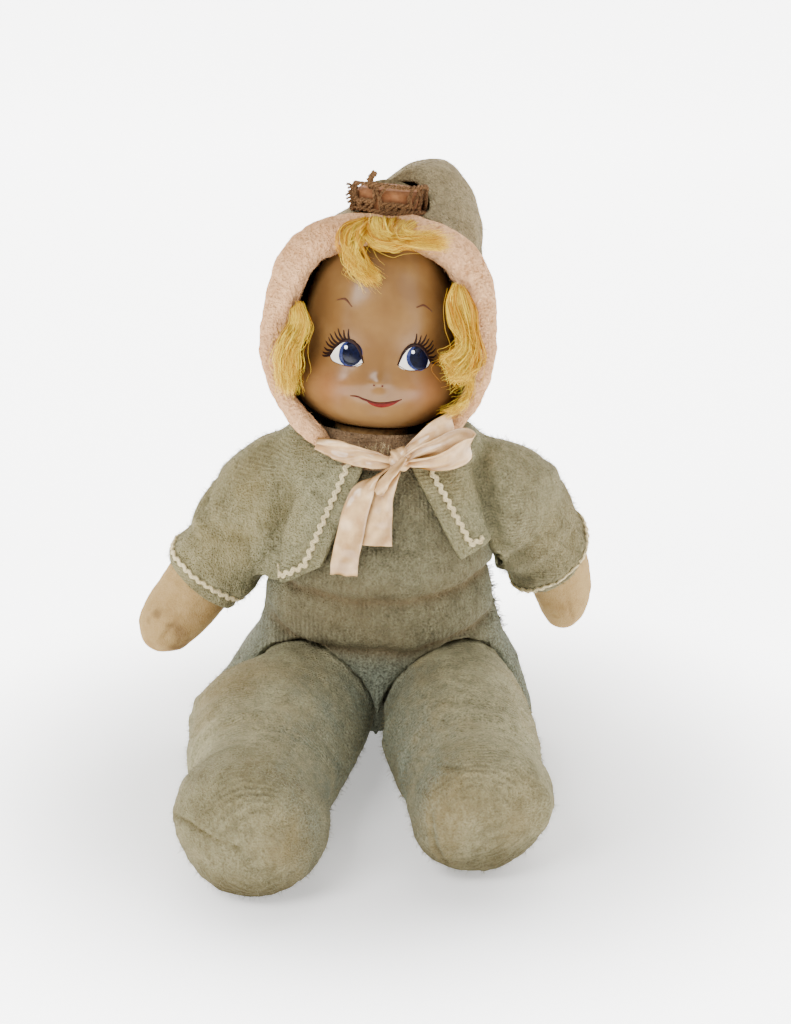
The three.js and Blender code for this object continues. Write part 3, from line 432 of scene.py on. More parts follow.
def rgb(code):
    parts = [int(code[i:i + 2], 16) / 255 for i in (0, 2, 4)]
    return [c / 12.92 if c <= 0.04045 else ((c + 0.055) / 1.055) ** 2.4 for c in parts] + [1]


class Finish:
    """A material that is being made from nodes. A text as an input's value is a colour's code."""

    def __init__(self, name):
        self.material = bpy.data.materials.new(name)
        self.material.use_nodes = True
        self.tree = self.material.node_tree
        self.place = self.node("TexCoord").outputs["Object"]

    def feed(self, made, inputs):
        for key, value in inputs.items():
            if isinstance(value, bpy.types.NodeSocket):
                self.tree.links.new(value, made.inputs[key])
            else:
                made.inputs[key].default_value = rgb(value) if isinstance(value, str) else value
        return made

    def node(self, kind, inputs=None, **settings):
        made = self.tree.nodes.new("ShaderNode" + kind)
        for key, value in settings.items():
            setattr(made, key, value)
        return self.feed(made, inputs or {})

    def mark(self, name):
        """The number that a mesh keeps for each point under that name."""
        return self.node("Attribute", attribute_name=name).outputs["Fac"]

    def math(self, operation, *values):
        return self.node("Math", dict(enumerate(values)), operation=operation).outputs[0]

    def between(self, value, **limits):
        """The value in other limits."""
        names = {key.replace("_", " ").title(): limit for key, limit in limits.items()}
        return self.node("MapRange", {"Value": value, **names}).outputs["Result"]

    def lumps(self, size, low=0.35, high=0.65, detail=2.0, place=None):
        """A 0 to 1 pattern of soft lumps of that size."""
        spots = {"Vector": place or self.place, "Scale": 1 / (size * MM), "Detail": detail}
        return self.between(self.node("TexNoise", spots).outputs["Fac"], from_min=low, from_max=high)

    def mixed(self, factor, a, b, kind="MIX"):
        return self.node("Mix", {0: factor, 6: a, 7: b}, data_type="RGBA", blend_type=kind).outputs[2]

    def over(self, colour, pattern, share, code):
        """The colour with a share of another one laid over it in a pattern."""
        return self.mixed(self.math("MULTIPLY", pattern, share), colour, code)

    def ridges(self, strength, depth, height):
        bump = {"Strength": strength, "Distance": depth * MM, "Height": height}
        return self.node("Bump", bump).outputs["Normal"]

    def done(self, inputs):
        self.feed(self.tree.nodes["Principled BSDF"], inputs)
        return self.material


def cloth(name, dark, light, stain, soil_and_shade="5c452b", stained=0.35, fibre=0.9, patch=22, bump=0.7, sheen=0.2,
          knit=None):
    """Napped cloth with brushed fibres, patches, stains and, where knit gives a pitch, an axis and how
    far they are raised, knitted rows.

    A mesh's marks lay on the darker colour, for dirt and painted shade, and a cool grey-green, for painted
    shade."""
    made = Finish(name)
    fine = made.lumps(fibre, 0.3, 0.7, 3)
    brushed = {"Vector": made.place, "Rotation": (0.5, 0.35, 0.6), "Scale": (1, 1, 0.3)}
    strokes = made.lumps(1.8 * fibre, 0.32, 0.68, place=made.node("Mapping", brushed).outputs[0])
    colour = made.mixed(fine, dark, light)
    colour = made.over(colour, strokes, 0.55, light)
    colour = made.over(colour, made.lumps(5, 0.42, 0.66, 3), 0.45, dark)
    colour = made.over(colour, made.lumps(patch), 0.3, light)
    colour = made.over(colour, made.lumps(1.9 * patch, 0.46, 0.7, 4), stained, stain)
    height = made.math("MULTIPLY_ADD", strokes, 0.8, fine)
    if knit:
        pitch, axis, raised = knit
        wave = {"Vector": made.place, "Scale": WAVE_PER_PITCH / (pitch * MM), "Distortion": 1.5, "Detail": 2,
                "Detail Scale": 1.2}
        rows = made.node("TexWave", wave, bands_direction=axis).outputs["Fac"]
        worn = made.lumps(26, 0.44, 0.62)
        height = made.math("MULTIPLY_ADD", rows, made.math("MULTIPLY", worn, raised), height)
        colour = made.mixed(made.math("MULTIPLY", worn, 0.2), colour, rows, "MULTIPLY")
    colour = made.mixed(made.mark("fresh"), colour, made.mixed(fine, *COOL_SHADE_GREEN))
    return made.done({
        "Base Color": made.mixed(made.mark("grime"), colour, soil_and_shade),
        "Normal": made.ridges(bump, 1.1, height),
        "Roughness": 0.95,
        "Sheen Weight": sheen,
        "Sheen Roughness": 0.6,
        "Sheen Tint": light,
        "Specular IOR Level": 0.1,
    })


def painted(name, dark, light, size=3.0, rough=0.35, metal=0.0, shine=0.12, bump=0.05, soil_and_shade="3c2a18"):
    """A hard or shiny finish with a little variation in it. A mesh's mark lays on the darker colour, for dirt
    and painted shade.
    """
    made = Finish(name)
    pattern = made.lumps(size, 0.3, 0.7, 4)
    colour = made.mixed(pattern, dark, light)
    return made.done({
        "Base Color": made.mixed(made.mark("grime"), colour, soil_and_shade),
        "Normal": made.ridges(bump, 0.3, pattern),
        "Roughness": rough,
        "Metallic": metal,
        "Specular IOR Level": shine,
    })


def composition(name):
    """Painted composition: a tan coat with age mottling, rosy, darkened with painted shade and matt as the
    mesh's marks say.
    """
    made = Finish(name)
    colour = made.mixed(made.lumps(14), "6d4d29", "7a5a33")
    colour = made.over(colour, made.lumps(1.6, 0.45, 0.8, 4), 0.12, "65431d")
    colour = made.over(colour, made.mark("blush"), 0.23, "8c4630")
    matt = made.mark("matt")
    return made.done({
        "Base Color": made.mixed(made.mark("grime"), colour, "5c4124"),
        "Normal": made.ridges(0.12, 0.3, made.lumps(5, 0.3, 0.7, 3)),
        "Roughness": made.between(matt, to_min=0.28, to_max=0.85),
        "Specular IOR Level": made.between(matt, to_min=0.32, to_max=0.03),
    })


def strands(name, dark, light):
    """Hair: each strand takes its own tone from the mesh's tone mark."""
    made = Finish(name)
    colour = made.mixed(made.mark("tone"), dark, light)
    return made.done({
        "Base Color": made.over(colour, made.lumps(1.5, 0.4, 0.7), 0.3, dark),
        "Roughness": 0.42,
        "Specular IOR Level": 0.15,
    })


FLANNEL = cloth("flannel", "524d36", "a49d7a", "745a2e", "4c4228", stained=0.45, knit=(1.5, "Y", 1.2))
JACKET_FLANNEL = cloth("jacket_flannel", "4f4b35", "989270", "75602f", knit=(1.5, "Z", 0.5))
# painted shade: a darker copy of the flannel, for the body in the shade under the jacket
SHADED_BODICE_FLANNEL = cloth("shaded_bodice_flannel", "3b3726", "7b755a", "655030", stained=0.25, knit=(1.9, "X", 0.8))
HOOD_FLANNEL = cloth("hood_flannel", "514631", "a59571", "735b33", stained=0.3, bump=1.0,
                     knit=(1.7, "DIAGONAL", 1.0))
FLEECE = cloth("fleece", "aa774a", "e9b88a", "9c6c3b", stained=0.3, fibre=1.3, patch=16, bump=0.9, sheen=0.15)
CALICO = cloth("calico", "8c7146", "a98d5e", "5f3d18", stained=0.4, fibre=0.6, patch=9, bump=0.25, sheen=0.1)
NECK_KNIT = cloth("neck_knit", "604a34", "977c5d", "4d3824", fibre=1.0, bump=0.9, knit=(1.6, "Z", 1.0))
RICKRACK = cloth("rickrack", "bfa878", "ecdcae", "9a8050", stained=0.2, fibre=0.5, patch=6, sheen=0.1)
BRAID = cloth("braid", "4e3520", "8f6a46", "3f2b1c", fibre=0.5, patch=5, bump=0.8, sheen=0.1)
THREAD = cloth("thread", "a38c68", "cbb58e", "8a7048", fibre=0.5, patch=5, bump=0.3, sheen=0.1)
# painted shade: the satin's third colour, laid in its folds by the mesh's mark
SATIN = painted("satin", "bb9262", "e0ba86", size=5, rough=0.24, shine=0.6, bump=0.12, soil_and_shade="7a5426")
WOOD = painted("wood", "7a5630", "977244", size=1.6, rough=0.7, bump=0.3)
CARD = painted("card", "775c39", "92744c", size=2.5, rough=0.9, bump=0.3)
STEEL = painted("steel", "4d4b47", "7a7872", size=1.5, rough=0.6, metal=0.9)
KNOB = painted("knob_paint", "6e4429", "865b3a", size=3, rough=0.75, shine=0.05, bump=0.2)
MOHAIR = strands("mohair", "b87404", "ffe250")
SKIN = composition("composition")


# Head: a dense copy of the frame's moulding, in a frame of its own on the turning joint

joints = {j["name"]: j for j in frame["joints"]}
neck = joints["head_turn"]
up = Vector(neck["axis"]).normalized()
aside = (Vector((1, 0, 0)) - up * up.x).normalized()
HEAD = np.array(Matrix((aside, up.cross(aside), up)).transposed())
HEAD_AT = np.array(neck["pos_m"]) / MM
FACE_SPAN = 2 * math.pi / 3
OUTLINE = curve([
    (0.45, 0), (0.66, 0.018), (0.86, 0.075), (0.965, 0.15), (1, 0.24), (0.985, 0.38),
    (0.97, 0.52), (0.93, 0.66), (0.82, 0.8), (0.6, 0.92), (0.3, 0.99),
], 400) * [CHEEK_RADIUS, HEAD_HEIGHT]
MOULDING = (  # each form's rise, its place across a face, its reach that way, its level and its reach upward
    (1.4, 18, 10, 20, 11),  # cheeks
    (1.1, 14, 7, 21, 7),  # their apples
    (NOSE_HEIGHT, 0, 4, NOSE_LEVEL, 3.8),
    (0.6, 0, 4, 29, 6),  # the nose's bridge
    (0.6, 0, 8, MOUTH_LEVEL - 1.5, 3),  # lips
    (1.1, 0, 9, 5, 4),  # chin
    (-0.7, EYE_SPACING / 2, 7, EYE_LEVEL, 6),  # eye sockets
)


def in_doll(points):
    """Points of the head's frame in the doll's."""
    return np.asarray(points, float) @ HEAD.T + HEAD_AT


def off_face(angle):
    """How far round from the middle of the nearest face, where the next face's middle is 1."""
    turn = (np.asarray(angle) - FACE_TURN / CHEEK_RADIUS) / FACE_SPAN
    return np.abs(turn - np.round(turn))


def head_radius(angle, height):
    """Radius at an angle from the middle of the front face, with the same moulding on all three faces."""
    base = np.interp(height, OUTLINE[:, 1], OUTLINE[:, 0])
    across = off_face(angle) * FACE_SPAN * base
    seam = (0.5 - off_face(angle)) * FACE_SPAN
    cheek_level = bell(height - 17, 14)
    cheeks = FULL_CHEEKS * cheek_level * (1 - bell(across, 20))
    temples = FULL_BROW * bell(height - 50, 12) * (1 - bell(across, 12))
    hollow = -1.3 * bell(seam, 0.28) * bell(height - 29, 34) * (1 - 0.8 * cheek_level)
    forms = sum(rise * bell(across - x, wide) * bell(height - h, tall) for rise, x, wide, h, tall in MOULDING)
    return base + cheeks + temples + hollow + forms


def on_head(angle, height, lift=0.0):
    r = head_radius(angle, height) + lift
    return np.stack([r * np.sin(angle), -r * np.cos(angle), np.asarray(height, float) + HEAD_RISE], -1)


def head_moulding():
    levels = OUTLINE[np.linspace(0, len(OUTLINE) - 1, HEAD_ROWS).astype(int), 1]
    turn, level = crossed(round_turns(HEAD_COLUMNS), levels)
    shape = in_doll(on_head(turn, level)), tube_faces(HEAD_ROWS, HEAD_COLUMNS)
    head = piece("head_moulding", shape, SKIN)
    blush = np.zeros(len(turn))
    for k in range(3):
        for sign in (-1, 1):
            middle = (FACE_TURN + sign * BLUSH_OUT) / CHEEK_RADIUS + k * FACE_SPAN
            gap = (turn - middle + math.pi) % (2 * math.pi) - math.pi
            blush += bell(np.hypot(gap * CHEEK_RADIUS, level - BLUSH_LEVEL), 9)
    off = off_face(turn)
    # painted shade: the head darkens towards the seams between its faces, where the hood shades the temples,
    # and under the chin
    under = 1 - step(level, 0, 9)
    edge_shade = 0.32 * step(off, 0.27, 0.5) * (1 - 0.75 * bell(level - 18, 16))
    marked(head, blush=blush, grime=edge_shade + 0.4 * under, matt=step(off, 0.2, 0.32) + under)
    placed(head, "head", "composition", "head_shell")


head_moulding()


# Painted features, each a thin film of paint on the moulding

PAINTS = {
    "white": painted("eye_white", "d9d3c8", "efe9df", size=4, rough=0.3),
    "iris": painted("iris_blue", "191d42", "323b66", size=1.2, rough=0.3),
    "navy": painted("pupil_navy", "040510", "0b0e26", size=1.4, rough=0.25),
    "glint": painted("glint_white", "eef0f4", "ffffff", size=1, rough=0.3),
    "brown": painted("lash_brown", "150805", "26120b", size=1, rough=0.45),
    "lash": painted("brow_brown", "43281a", "563522", size=1, rough=0.5),
    "red": painted("lip_red", "540e0a", "6c1812", size=1.5, rough=0.4),
    "mouth": painted("mouth_brown", "3c120b", "4d1a10", size=1, rough=0.45),
    "tear": painted("tear_drop", "b9c4cc", "dfe6ea", size=1, rough=0.12),
}
films = {key: [] for key in PAINTS}


def film(key, face, grid, lift):
    """A film of one paint over a grid of (across, height) on one face."""
    grid = np.asarray(grid, float)
    rows, columns, _ = grid.shape
    angle = ((FACE_TURN + grid[..., 0]) / CHEEK_RADIUS + face * FACE_SPAN).ravel()
    top, low = (on_head(angle, grid[..., 1].ravel(), by).reshape(rows, columns, 3) for by in (lift, UNDER))
    ring = np.concatenate([top, low[:, ::-1]], axis=1)
    films[key].append((in_doll(ring.reshape(-1, 3)), tube_faces(rows, 2 * columns)))


def stroke(key, face, line, width, lift, steps):
    """A painted stroke that tapers as width does along it."""
    p = curve(line, steps)
    along = unit(np.gradient(p, axis=0))
    out = np.stack([-along[:, 1], along[:, 0]], 1)
    half = 0.5 * spread(width, steps)
    film(key, face, p[:, None] + out[:, None] * (half[:, None] * np.linspace(1, -1, 3))[:, :, None], lift)


def filled(key, face, upper, lower, lift):
    """A film between two lines that share their ends."""
    a, b = curve(upper, FILM_STEPS), curve(lower, FILM_STEPS)
    share = np.linspace(0.001, 0.999, FILM_ROWS)[None, :, None]
    film(key, face, a[:, None] * (1 - share) + b[:, None] * share, lift)


def spot(key, face, x, h, wide, tall, lift):
    t = np.linspace(0, math.pi, 16)
    upper, lower = (np.stack([x - wide * np.cos(t), h + side * tall * np.sin(t)], 1) for side in (1, -1))
    filled(key, face, upper, lower, lift)


def eye_line(sign, points):
    """Points given outward and up from the middle of one eye, on its face."""
    return [(sign * (EYE_SPACING / 2 + out), EYE_LEVEL + h) for out, h in points]


def open_eye(face, sign):
    """An eye that glances to the doll's left, with lashes fanning from its outer corner."""
    lid = eye_line(sign, [(7.6, -2.0), (6.0, 1.6), (2.2, 5.0), (-2.0, 5.2), (-5.2, 2.0), (-7.4, -3.2)])
    low = eye_line(sign, [(7.6, -2.0), (5.0, -4.1), (1.2, -5.1), (-2.6, -5.2), (-5.6, -4.6), (-7.4, -3.2)])
    glance = sign * EYE_SPACING / 2 + 1.5
    filled("white", face, lid, low, 0.06)
    spot("iris", face, glance, EYE_LEVEL + 0.1, 5.2, 5.3, 0.14)
    spot("navy", face, glance + 0.7, EYE_LEVEL + 0.2, 4.3, 5.0, 0.2)
    spot("glint", face, glance - 2.3, EYE_LEVEL + 2.5, 0.75, 0.8, 0.3)
    stroke("brown", face, lid, (0.5, 0.8, 1.3, 1.5, 1.1, 0.5), 0.26, 30)
    stroke("lash", face, [low[-1], low[3], low[1], low[0]], (0.3, 0.25, 0.25, 0.3), 0.2, 20)
    root = curve(lid, 60)
    for k in range(10):
        share = k / 9
        start = root[int(1 + 30 * share)]
        angle = math.radians(-8 + 88 * share + 4 * math.sin(5 * k))
        length = 4.4 + 1.4 * math.sin(math.pi * share) + 0.5 * math.sin(3 * k)
        tip = start + length * np.array([sign * math.cos(angle), math.sin(angle)])
        bow = start + 0.55 * (tip - start) + np.array([sign * 0.25, -0.5])
        stroke("brown", face, [start, bow, tip], (1.1, 0.8, 0.2), 0.24, 8)


def shut_eye(face, sign):
    lid = eye_line(sign, [(7.4, 0.2), (3.5, -2.6), (-1, -3.2), (-5, -2.0), (-7.2, 0)])
    stroke("brown", face, lid, (0.5, 1.0, 1.1, 0.9, 0.4), 0.2, 24)
    root = curve(lid, 50)
    for k in range(9):
        share = k / 8
        start = root[int(3 + 34 * share)]
        angle = math.radians(-25 - 65 * share)
        tip = start + 3.6 * np.array([sign * math.cos(angle), math.sin(angle)])
        bow = 0.5 * (start + tip) + np.array([0, -0.5])
        stroke("brown", face, [start, bow, tip], (0.6, 0.4, 0.1), 0.2, 8)


def brows(face, slant=0.0):
    for sign, rise in ((-1, (-1.5, 1.3, 0.4)), (1, (0.2, 1.0, -1.6))):
        line = [(sign * (BROW_OUT + s), BROW_LEVEL + h + slant * s / 4) for s, h in zip((-3.8, 0, 4.2), rise)]
        stroke("lash", face, line, (0.4, 0.95, 0.35), 0.14, 16)


for face in (SMILING, SLEEPING, CRYING):
    for x in NOSTRILS:
        spot("mouth", face, x, NOSTRIL_LEVEL, 0.42, 0.36, 0.12)
for sign in (-1, 1):
    open_eye(SMILING, sign)
    shut_eye(SLEEPING, sign)
    open_eye(CRYING, sign)
    for k in range(2):
        spot("tear", CRYING, sign * (15 + 2 * k), 24.5 - 6 * k, 1.0, 1.6, 0.5)
brows(SMILING)
brows(SLEEPING)
brows(CRYING, -1.6)
smile = [(-11.2, 15.9), (-8.6, 15.8), (-5.5, 14.6), (0.2, 13.4), (6.2, 14.4), (9.6, 15.8)]
stroke("mouth", SMILING, smile, (0.3, 0.6, 0.8, 0.9, 0.8, 0.3), 0.2, 30)
filled("red", SMILING, smile[2:], [smile[2], (-2.4, 12.4), (1.8, 11.6), (6.0, 12.8), smile[5]], 0.16)
pout = [(-6.5, 14.2), (-3, 15.2), (0, 14.6), (3, 15.2), (6.5, 14.2)]
filled("red", SLEEPING, pout, [pout[0], (-3, 12.8), (0, 12.4), (3, 12.8), pout[4]], 0.16)
wail = [(-8, 12.6), (-4, 15.6), (0, 16.2), (4, 15.6), (8, 12.6)]
filled("red", CRYING, wail, [wail[0], (-4, 11.4), (0, 11.0), (4, 11.4), wail[4]], 0.12)
inside = [(x * 0.72, 13.3 + (h - 13.3) * 0.62) for x, h in wail]
filled("mouth", CRYING, inside, [inside[0], (-3, 12.5), (0, 12.3), (3, 12.5), inside[4]], 0.2)
for key, parts in films.items():
    placed(piece("painted_" + key, joined(parts), PAINTS[key]), "head", "composition")


# Stuffed pieces: a dense skin over each CAD solid, dented and creased

def stuffed(name, shape, material, body, node_name, slot_name):
    obj = placed(piece(name, shape, material), body, slot_name, node_name)
    return obj


def seamed(points, line):
    """A sewn seam along a line: the cloth dips into it between two low ridges. Gives the dip and its dirt."""
    far = from_line(points, line)
    return 0.35 * bell(far - 2.2, 1.0) - 0.9 * bell(far, 0.9), 0.55 * bell(far, 0.7)


def romper(base):
    """The body, with the bodice's overhang, the belly's creases and the hollow of the crotch."""
    points = base[0]
    x, y, z = points.T
    front = step(-y, 5, 30)
    d = z - FOLD_LEVEL - 2.5 * (x / BODY_HALF) ** 2 - 1.2 * noise(points * [1, 1, 0], 22, 3)
    bodice = 3.4 * step(d, -1.2, 3.4) * (1 - step(z, 98, 124)) - 1.7 * bell(d + 2.2, 2.2)
    crease = z - BELLY_CREASE - 4 * (x / BODY_HALF) ** 2 - 1.5 * noise(points * [1, 1, 0], 14, 4)
    belly = front * (2.0 * bell(d + 13, 7) + 1.4 * bell(crease - 6, 5) - 3.0 * bell(crease, 2.6))
    tucks = -1.6 * bell(from_line(points, [(-50, -18, 71), (-42, -30, 73), (-34, -40, 74)]), 2.2)
    puckers = 1.0 * noise(points, 19, 5) + 0.45 * noise(points, 7, 6)
    seat = 1.2 * noise(points * [1, 1, 0.5], 13, 8) * step(60 - z, 0, 20)
    dip, dirt = seamed(points, [(53, -9, 92), (56, -9, 75), (61, -8, 60), (66, -8, 40)])
    outside = step(np.hypot(x, y + 8), 20, 28)
    shape = pushed(base, outside * (bodice + belly + tucks + puckers + seat + dip))
    points = shape[0]
    x, y, z = points.T
    y += 32 * (1 - step(z, 6, 32)) * bell(x - CROTCH, 19) * step(-y, -25, 40)
    crotch = bell(x - CROTCH, 16) * (1 - step(z, 30, 46)) * step(-y, -8, 4)
    points += crotch[:, None] * (relaxed(shape, 16)[0] - points)
    z[:] = np.maximum(z, ON_FLOOR)
    obj = stuffed("romper_body", shape, SHADED_BODICE_FLANNEL, "torso", "torso", "flannel")
    # painted cool shade in the crotch and on the body's sides
    cool_shaded = 0.6 * bell(x - CROTCH, 26) * (1 - step(z, 52, 66)) + 0.5 * step(np.abs(x), 40, 58)
    # besides the seam's dirt, painted shade in the groove under the bodice's overhang and in the belly's
    # crease
    marked(obj, grime=dirt + 0.4 * bell(d + 2.2, 2.0) + 0.4 * front * bell(crease, 2.0), fresh=cool_shaded)
    return shape


def leg(side, sign):
    base = skin_of(side + "_leg", LEG_VOXEL, 14)
    points = base[0]
    toe, level = -points[:, 1], points[:, 2]
    ankle = 0.8 * bell(toe - 112, 16) * np.sin(toe * 0.5 + 2 * noise(points, 18, 21)) * step(level, 20, 50)
    amount = 1.1 * noise(points, 20, 11 + sign) + 0.4 * noise(points, 7, 13) + ankle
    dirt = 0
    for line in LEG_SEAMS[side]:
        dip, dark = seamed(points, line)
        amount, dirt = amount + dip, dirt + dark
    amount = amount * step(toe, 40, 75) + 0.3 * noise(points, 3, 15)
    for at, reach, rise in LEG_SHAPING[side]:
        amount = amount + rise * bell(np.linalg.norm(points - at, axis=1), reach)
    gap = np.array([torso_tree.find_nearest(Vector(p))[3] for p in points])
    shape = pushed(base, amount + 0.75 * np.clip(LAP_GAP - gap, 0, LAP_GAP))
    shape[0][:, 2] = np.maximum(shape[0][:, 2], ON_FLOOR)
    obj = stuffed(side + "_leg_cloth", shape, FLANNEL, side + "_leg", side + "_leg", "flannel")
    worn = FOOT_SOIL[side] + 0.24 * step(noise(points, 16, 17, 3), -0.6, 0.9)
    # painted shade: the leg darkens towards the floor
    floor_shade = 0.5 * (1 - step(level, 2, 24))
    # painted cool shade on the side that faces the other leg
    inner = step(-sign * normals(shape)[:, 0], 0.1, 0.9)
    cool_shaded = inner * (0.5 + 0.3 * noise(points, 12, 19))
    marked(obj, grime=dirt + worn * step(toe, 115, 160) + floor_shade, fresh=cool_shaded)
    return shape


def arm(side, spec):
    base = skin_of(side + "_arm", ARM_VOXEL, 10)
    points = base[0]
    along = (points - spec["pivot"]) @ spec["way"]
    dip, dark = seamed(points, [arm_line(spec, d) + spec["front"] * 11 for d in (52, 66, 80, 89)])
    shape = pushed(base, 0.5 * noise(points, 14, 31) + 0.2 * noise(points, 5, 33) + 0.6 * dip)
    obj = stuffed(side + "_hand_cloth", shape, CALICO, side + "_arm", side + "_arm", "calico")
    blots = 0.6 * step(noise(points, 9, 35 + spec["sign"], 3), 0.45, 1.0) * step(along, 55, 75)
    # painted cool shade where the arm runs up into the sleeve
    marked(obj, grime=0.8 * dark + blots, fresh=1 - step(along, 36, 46))


def arm_line(spec, d):
    """The middle of a bowed arm, that far from its shoulder."""
    tip = spec["aside"] * -spec["sign"] * spec["bow"]
    return spec["pivot"] + spec["way"] * d + tip * (d / ARM_LENGTH) ** 2


def arm_frame(side, spec):
    """Where an arm hangs from, its way, and the ways to its side and its front."""
    out, back = math.radians(spec["out"]), math.radians(spec["back"])
    level = math.cos(out)
    way = Vector((spec["sign"] * math.sin(out), level * math.sin(back), -level * math.cos(back)))
    turn = Vector((0, 0, -1)).rotation_difference(way)
    ways = {"way": way, "aside": turn @ Vector((1, 0, 0)), "front": turn @ Vector((0, -1, 0))}
    pivot = np.array(joints[side + "_shoulder"]["pos_m"]) / MM
    return {"pivot": pivot, **{key: np.array(value) for key, value in ways.items()}}


torso_skin = skin_of("torso", TORSO_VOXEL, 12)
torso_shape = romper(torso_skin)
torso_tree = tree_of(*torso_shape)
for side, spec in SIDES.items():
    spec.update(arm_frame(side, spec), leg=leg(side, spec["sign"]))
    arm(side, spec)


# Jacket: each half is a skin over the chest and one sleeve, cut open at its edges

chest_end = (0, 0, min(spec["hem"] for spec in SIDES.values()) - CHEST_BELOW)
chest = cut(pushed(relaxed(torso_skin, 4), JACKET_OVER), [(chest_end, (0, 0, -1), lambda c: True)], cap=True)
chest_tree = tree_of(*chest)


def jacket_shape(side, sign, pivot, way, hem):
    spec = SIDES[side]
    sleeve = skin([node_shape(side + "_sleeve"), node_shape(side + "_arm")], JACKET_VOXEL)
    sleeve = pushed(relaxed(sleeve, 3), 0.8)
    sleeve_tree = tree_of(*sleeve)

    def over_chest(c):
        """Whether a point of the jacket lies on the body, and not on the sleeve."""
        return chest_tree.find_nearest(c)[3] < sleeve_tree.find_nearest(c)[3]

    whole = relaxed(skin([chest, sleeve], JACKET_VOXEL), 22)
    points = whole[0]
    x, y, z = points.T
    along = (points - pivot) @ way
    in_sleeve = step(along, -4, 12) * step(sign * x, 38, 52)
    folds = 1.5 * noise(points * [1, 1, 0.55], 15, 41 + sign) + 0.5 * noise(points, 6, 43)
    ripple = 1.0 * np.sin(along * 0.34 + 3 * noise(points, 24, 45)) * in_sleeve
    hem_near = (1 - step(z, hem, hem + 26)) * (1 - in_sleeve)
    flare = 4.0 * hem_near**1.5 * step(-y, 10, 34)
    armhole = from_line(points * [1, 0, 1], ARMHOLES[side])
    gather = (1.6 * bell(armhole - 8, 5) - 4.5 * bell(armhole, 3.2)) * step(-y, 6, 20)
    whole = pushed(whole, 0.9 + folds * (0.4 + 0.6 * in_sleeve) + ripple + flare + gather)
    x, y, z = whole[0].T
    yoke = bell(np.abs(x) - 40, 13) * step(z, 124, 143) * bell(y + 6, 24)
    z += YOKE_LIFT * yoke
    top = Vector((spec["edge_top"], 0, COLLAR))
    low = Vector((spec["edge_hem"], 0, hem))
    down = (low - top).normalized()
    opening = Vector((-sign * abs(down.z), 0, -abs(down.x)))
    neckline = (spec["edge_top"], -44, COLLAR), (-sign * NECKLINE_RISE, -0.14, 1)
    return cut(whole, [
        (pivot + way * SLEEVE_LENGTH, way, lambda c: not over_chest(c)),
        (low, (spec["tilt"], 0, -1), lambda c: over_chest(c) and c.y < 0),
        ((0, 0, hem - 2), (0, 0, -1), lambda c: over_chest(c) and c.y >= 0),
        (*neckline, lambda c: abs(c.x) < 40 and c.y < -14),
        ((0, 0, COLLAR), (-0.08, -0.14, 0.98), lambda c: abs(c.x) < 28 and c.y >= -14),
        ((0, 0, 0), (-sign, 0, 0), lambda c: c.y > -8),
        (top, opening, lambda c: c.y <= -8),
    ])


def dress(obj, side, slot_name, *node_names):
    """Cloth that goes over one shoulder: it hides the CAD nodes that it stands for and has its place baked
    into its mesh.
    """
    if node_names:
        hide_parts(*node_names)
    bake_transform(obj)
    return obj


def rickrack(surface, rays):
    """A zigzag band laid on a surface where rays, each an origin and a way, meet it."""
    line, face = [], []
    for origin, way in rays:
        way = Vector(way).normalized()
        hit, n, _, _ = surface.ray_cast(Vector(origin), way)
        if hit is not None:
            line.append(hit)
            face.append(-n if n.dot(way) > 0 else n)
    lengths = run(line)
    d = np.linspace(0, lengths[-1], max(int(lengths[-1] / TRIM_STEP), 8))
    p, n = (np.stack([np.interp(d, lengths, v) for v in np.array(each).T], 1) for each in (line, face))
    n = unit(n)
    across = unit(np.cross(n, np.gradient(p, axis=0)))
    wave = 2 * np.pi * d / TRIM_WAVE
    p = p + across * (0.62 * np.sin(wave))[:, None] + n * 0.5
    return strip(p, across, TRIM_WIDTH * (0.8 + 0.08 * np.cos(2 * wave)), 1.0)


def edge_rays(spec):
    """Rays from the front at the trim's line, down the open edge and out along the hem."""
    sign, hem, tilt, edge_hem = (spec[key] for key in ("sign", "hem", "tilt", "edge_hem"))
    spots = []
    for z in np.linspace(COLLAR + 1, hem + HEM_INSET + tilt * sign * EDGE_INSET, 44):
        edge = np.interp(z, [hem, COLLAR], [edge_hem, spec["edge_top"]])
        spots.append((edge + sign * EDGE_INSET, z))
    for x in np.linspace(edge_hem + sign * EDGE_INSET, sign * HEM_REACH, 24)[1:]:
        spots.append((x, hem + HEM_INSET + tilt * (x - edge_hem)))
    return [((x, -RAY_START, z), (0, 1, 0)) for x, z in spots]


def cuff_rays(spec):
    """Rays from all round at the trim's line on a sleeve."""
    one = unit(np.cross(spec["way"], [0, 0, 1.0]))
    two = np.cross(spec["way"], one)
    middle = arm_line(spec, SLEEVE_LENGTH - CUFF_INSET)
    spokes = [math.cos(t) * one + math.sin(t) * two for t in np.linspace(0.03, 2 * math.pi - 0.03, 90)]
    return [(middle + 60 * spoke, -spoke) for spoke in spokes]


for side, spec in SIDES.items():
    shape = jacket_shape(side, spec["sign"], spec["pivot"], spec["way"], spec["hem"])
    surface = tree_of(*shape)
    spec["jacket"] = shape
    trim = piece(f"jacket_{side}_rickrack", rickrack(surface, edge_rays(spec)), RICKRACK)
    dress(trim, side, "rickrack", f"jacket_trim_{side}")
    cuff = piece(f"{side}_cuff_rickrack", rickrack(surface, cuff_rays(spec)), RICKRACK)
    dress(cuff, side, "rickrack", f"{side}_sleeve_trim")
    half = piece(f"jacket_{side}", thick(shape, JACKET_CLOTH), JACKET_FLANNEL)
    dress(half, side, "flannel", f"{side}_sleeve", "jacket_body")
    # painted shade on the outer part of the sleeve
    marked(half, grime=SLEEVE_SHADE[side] * step(np.abs(mesh_shape(half.data)[0][:, 0]), 46, 66))


# Neck, brim and hood

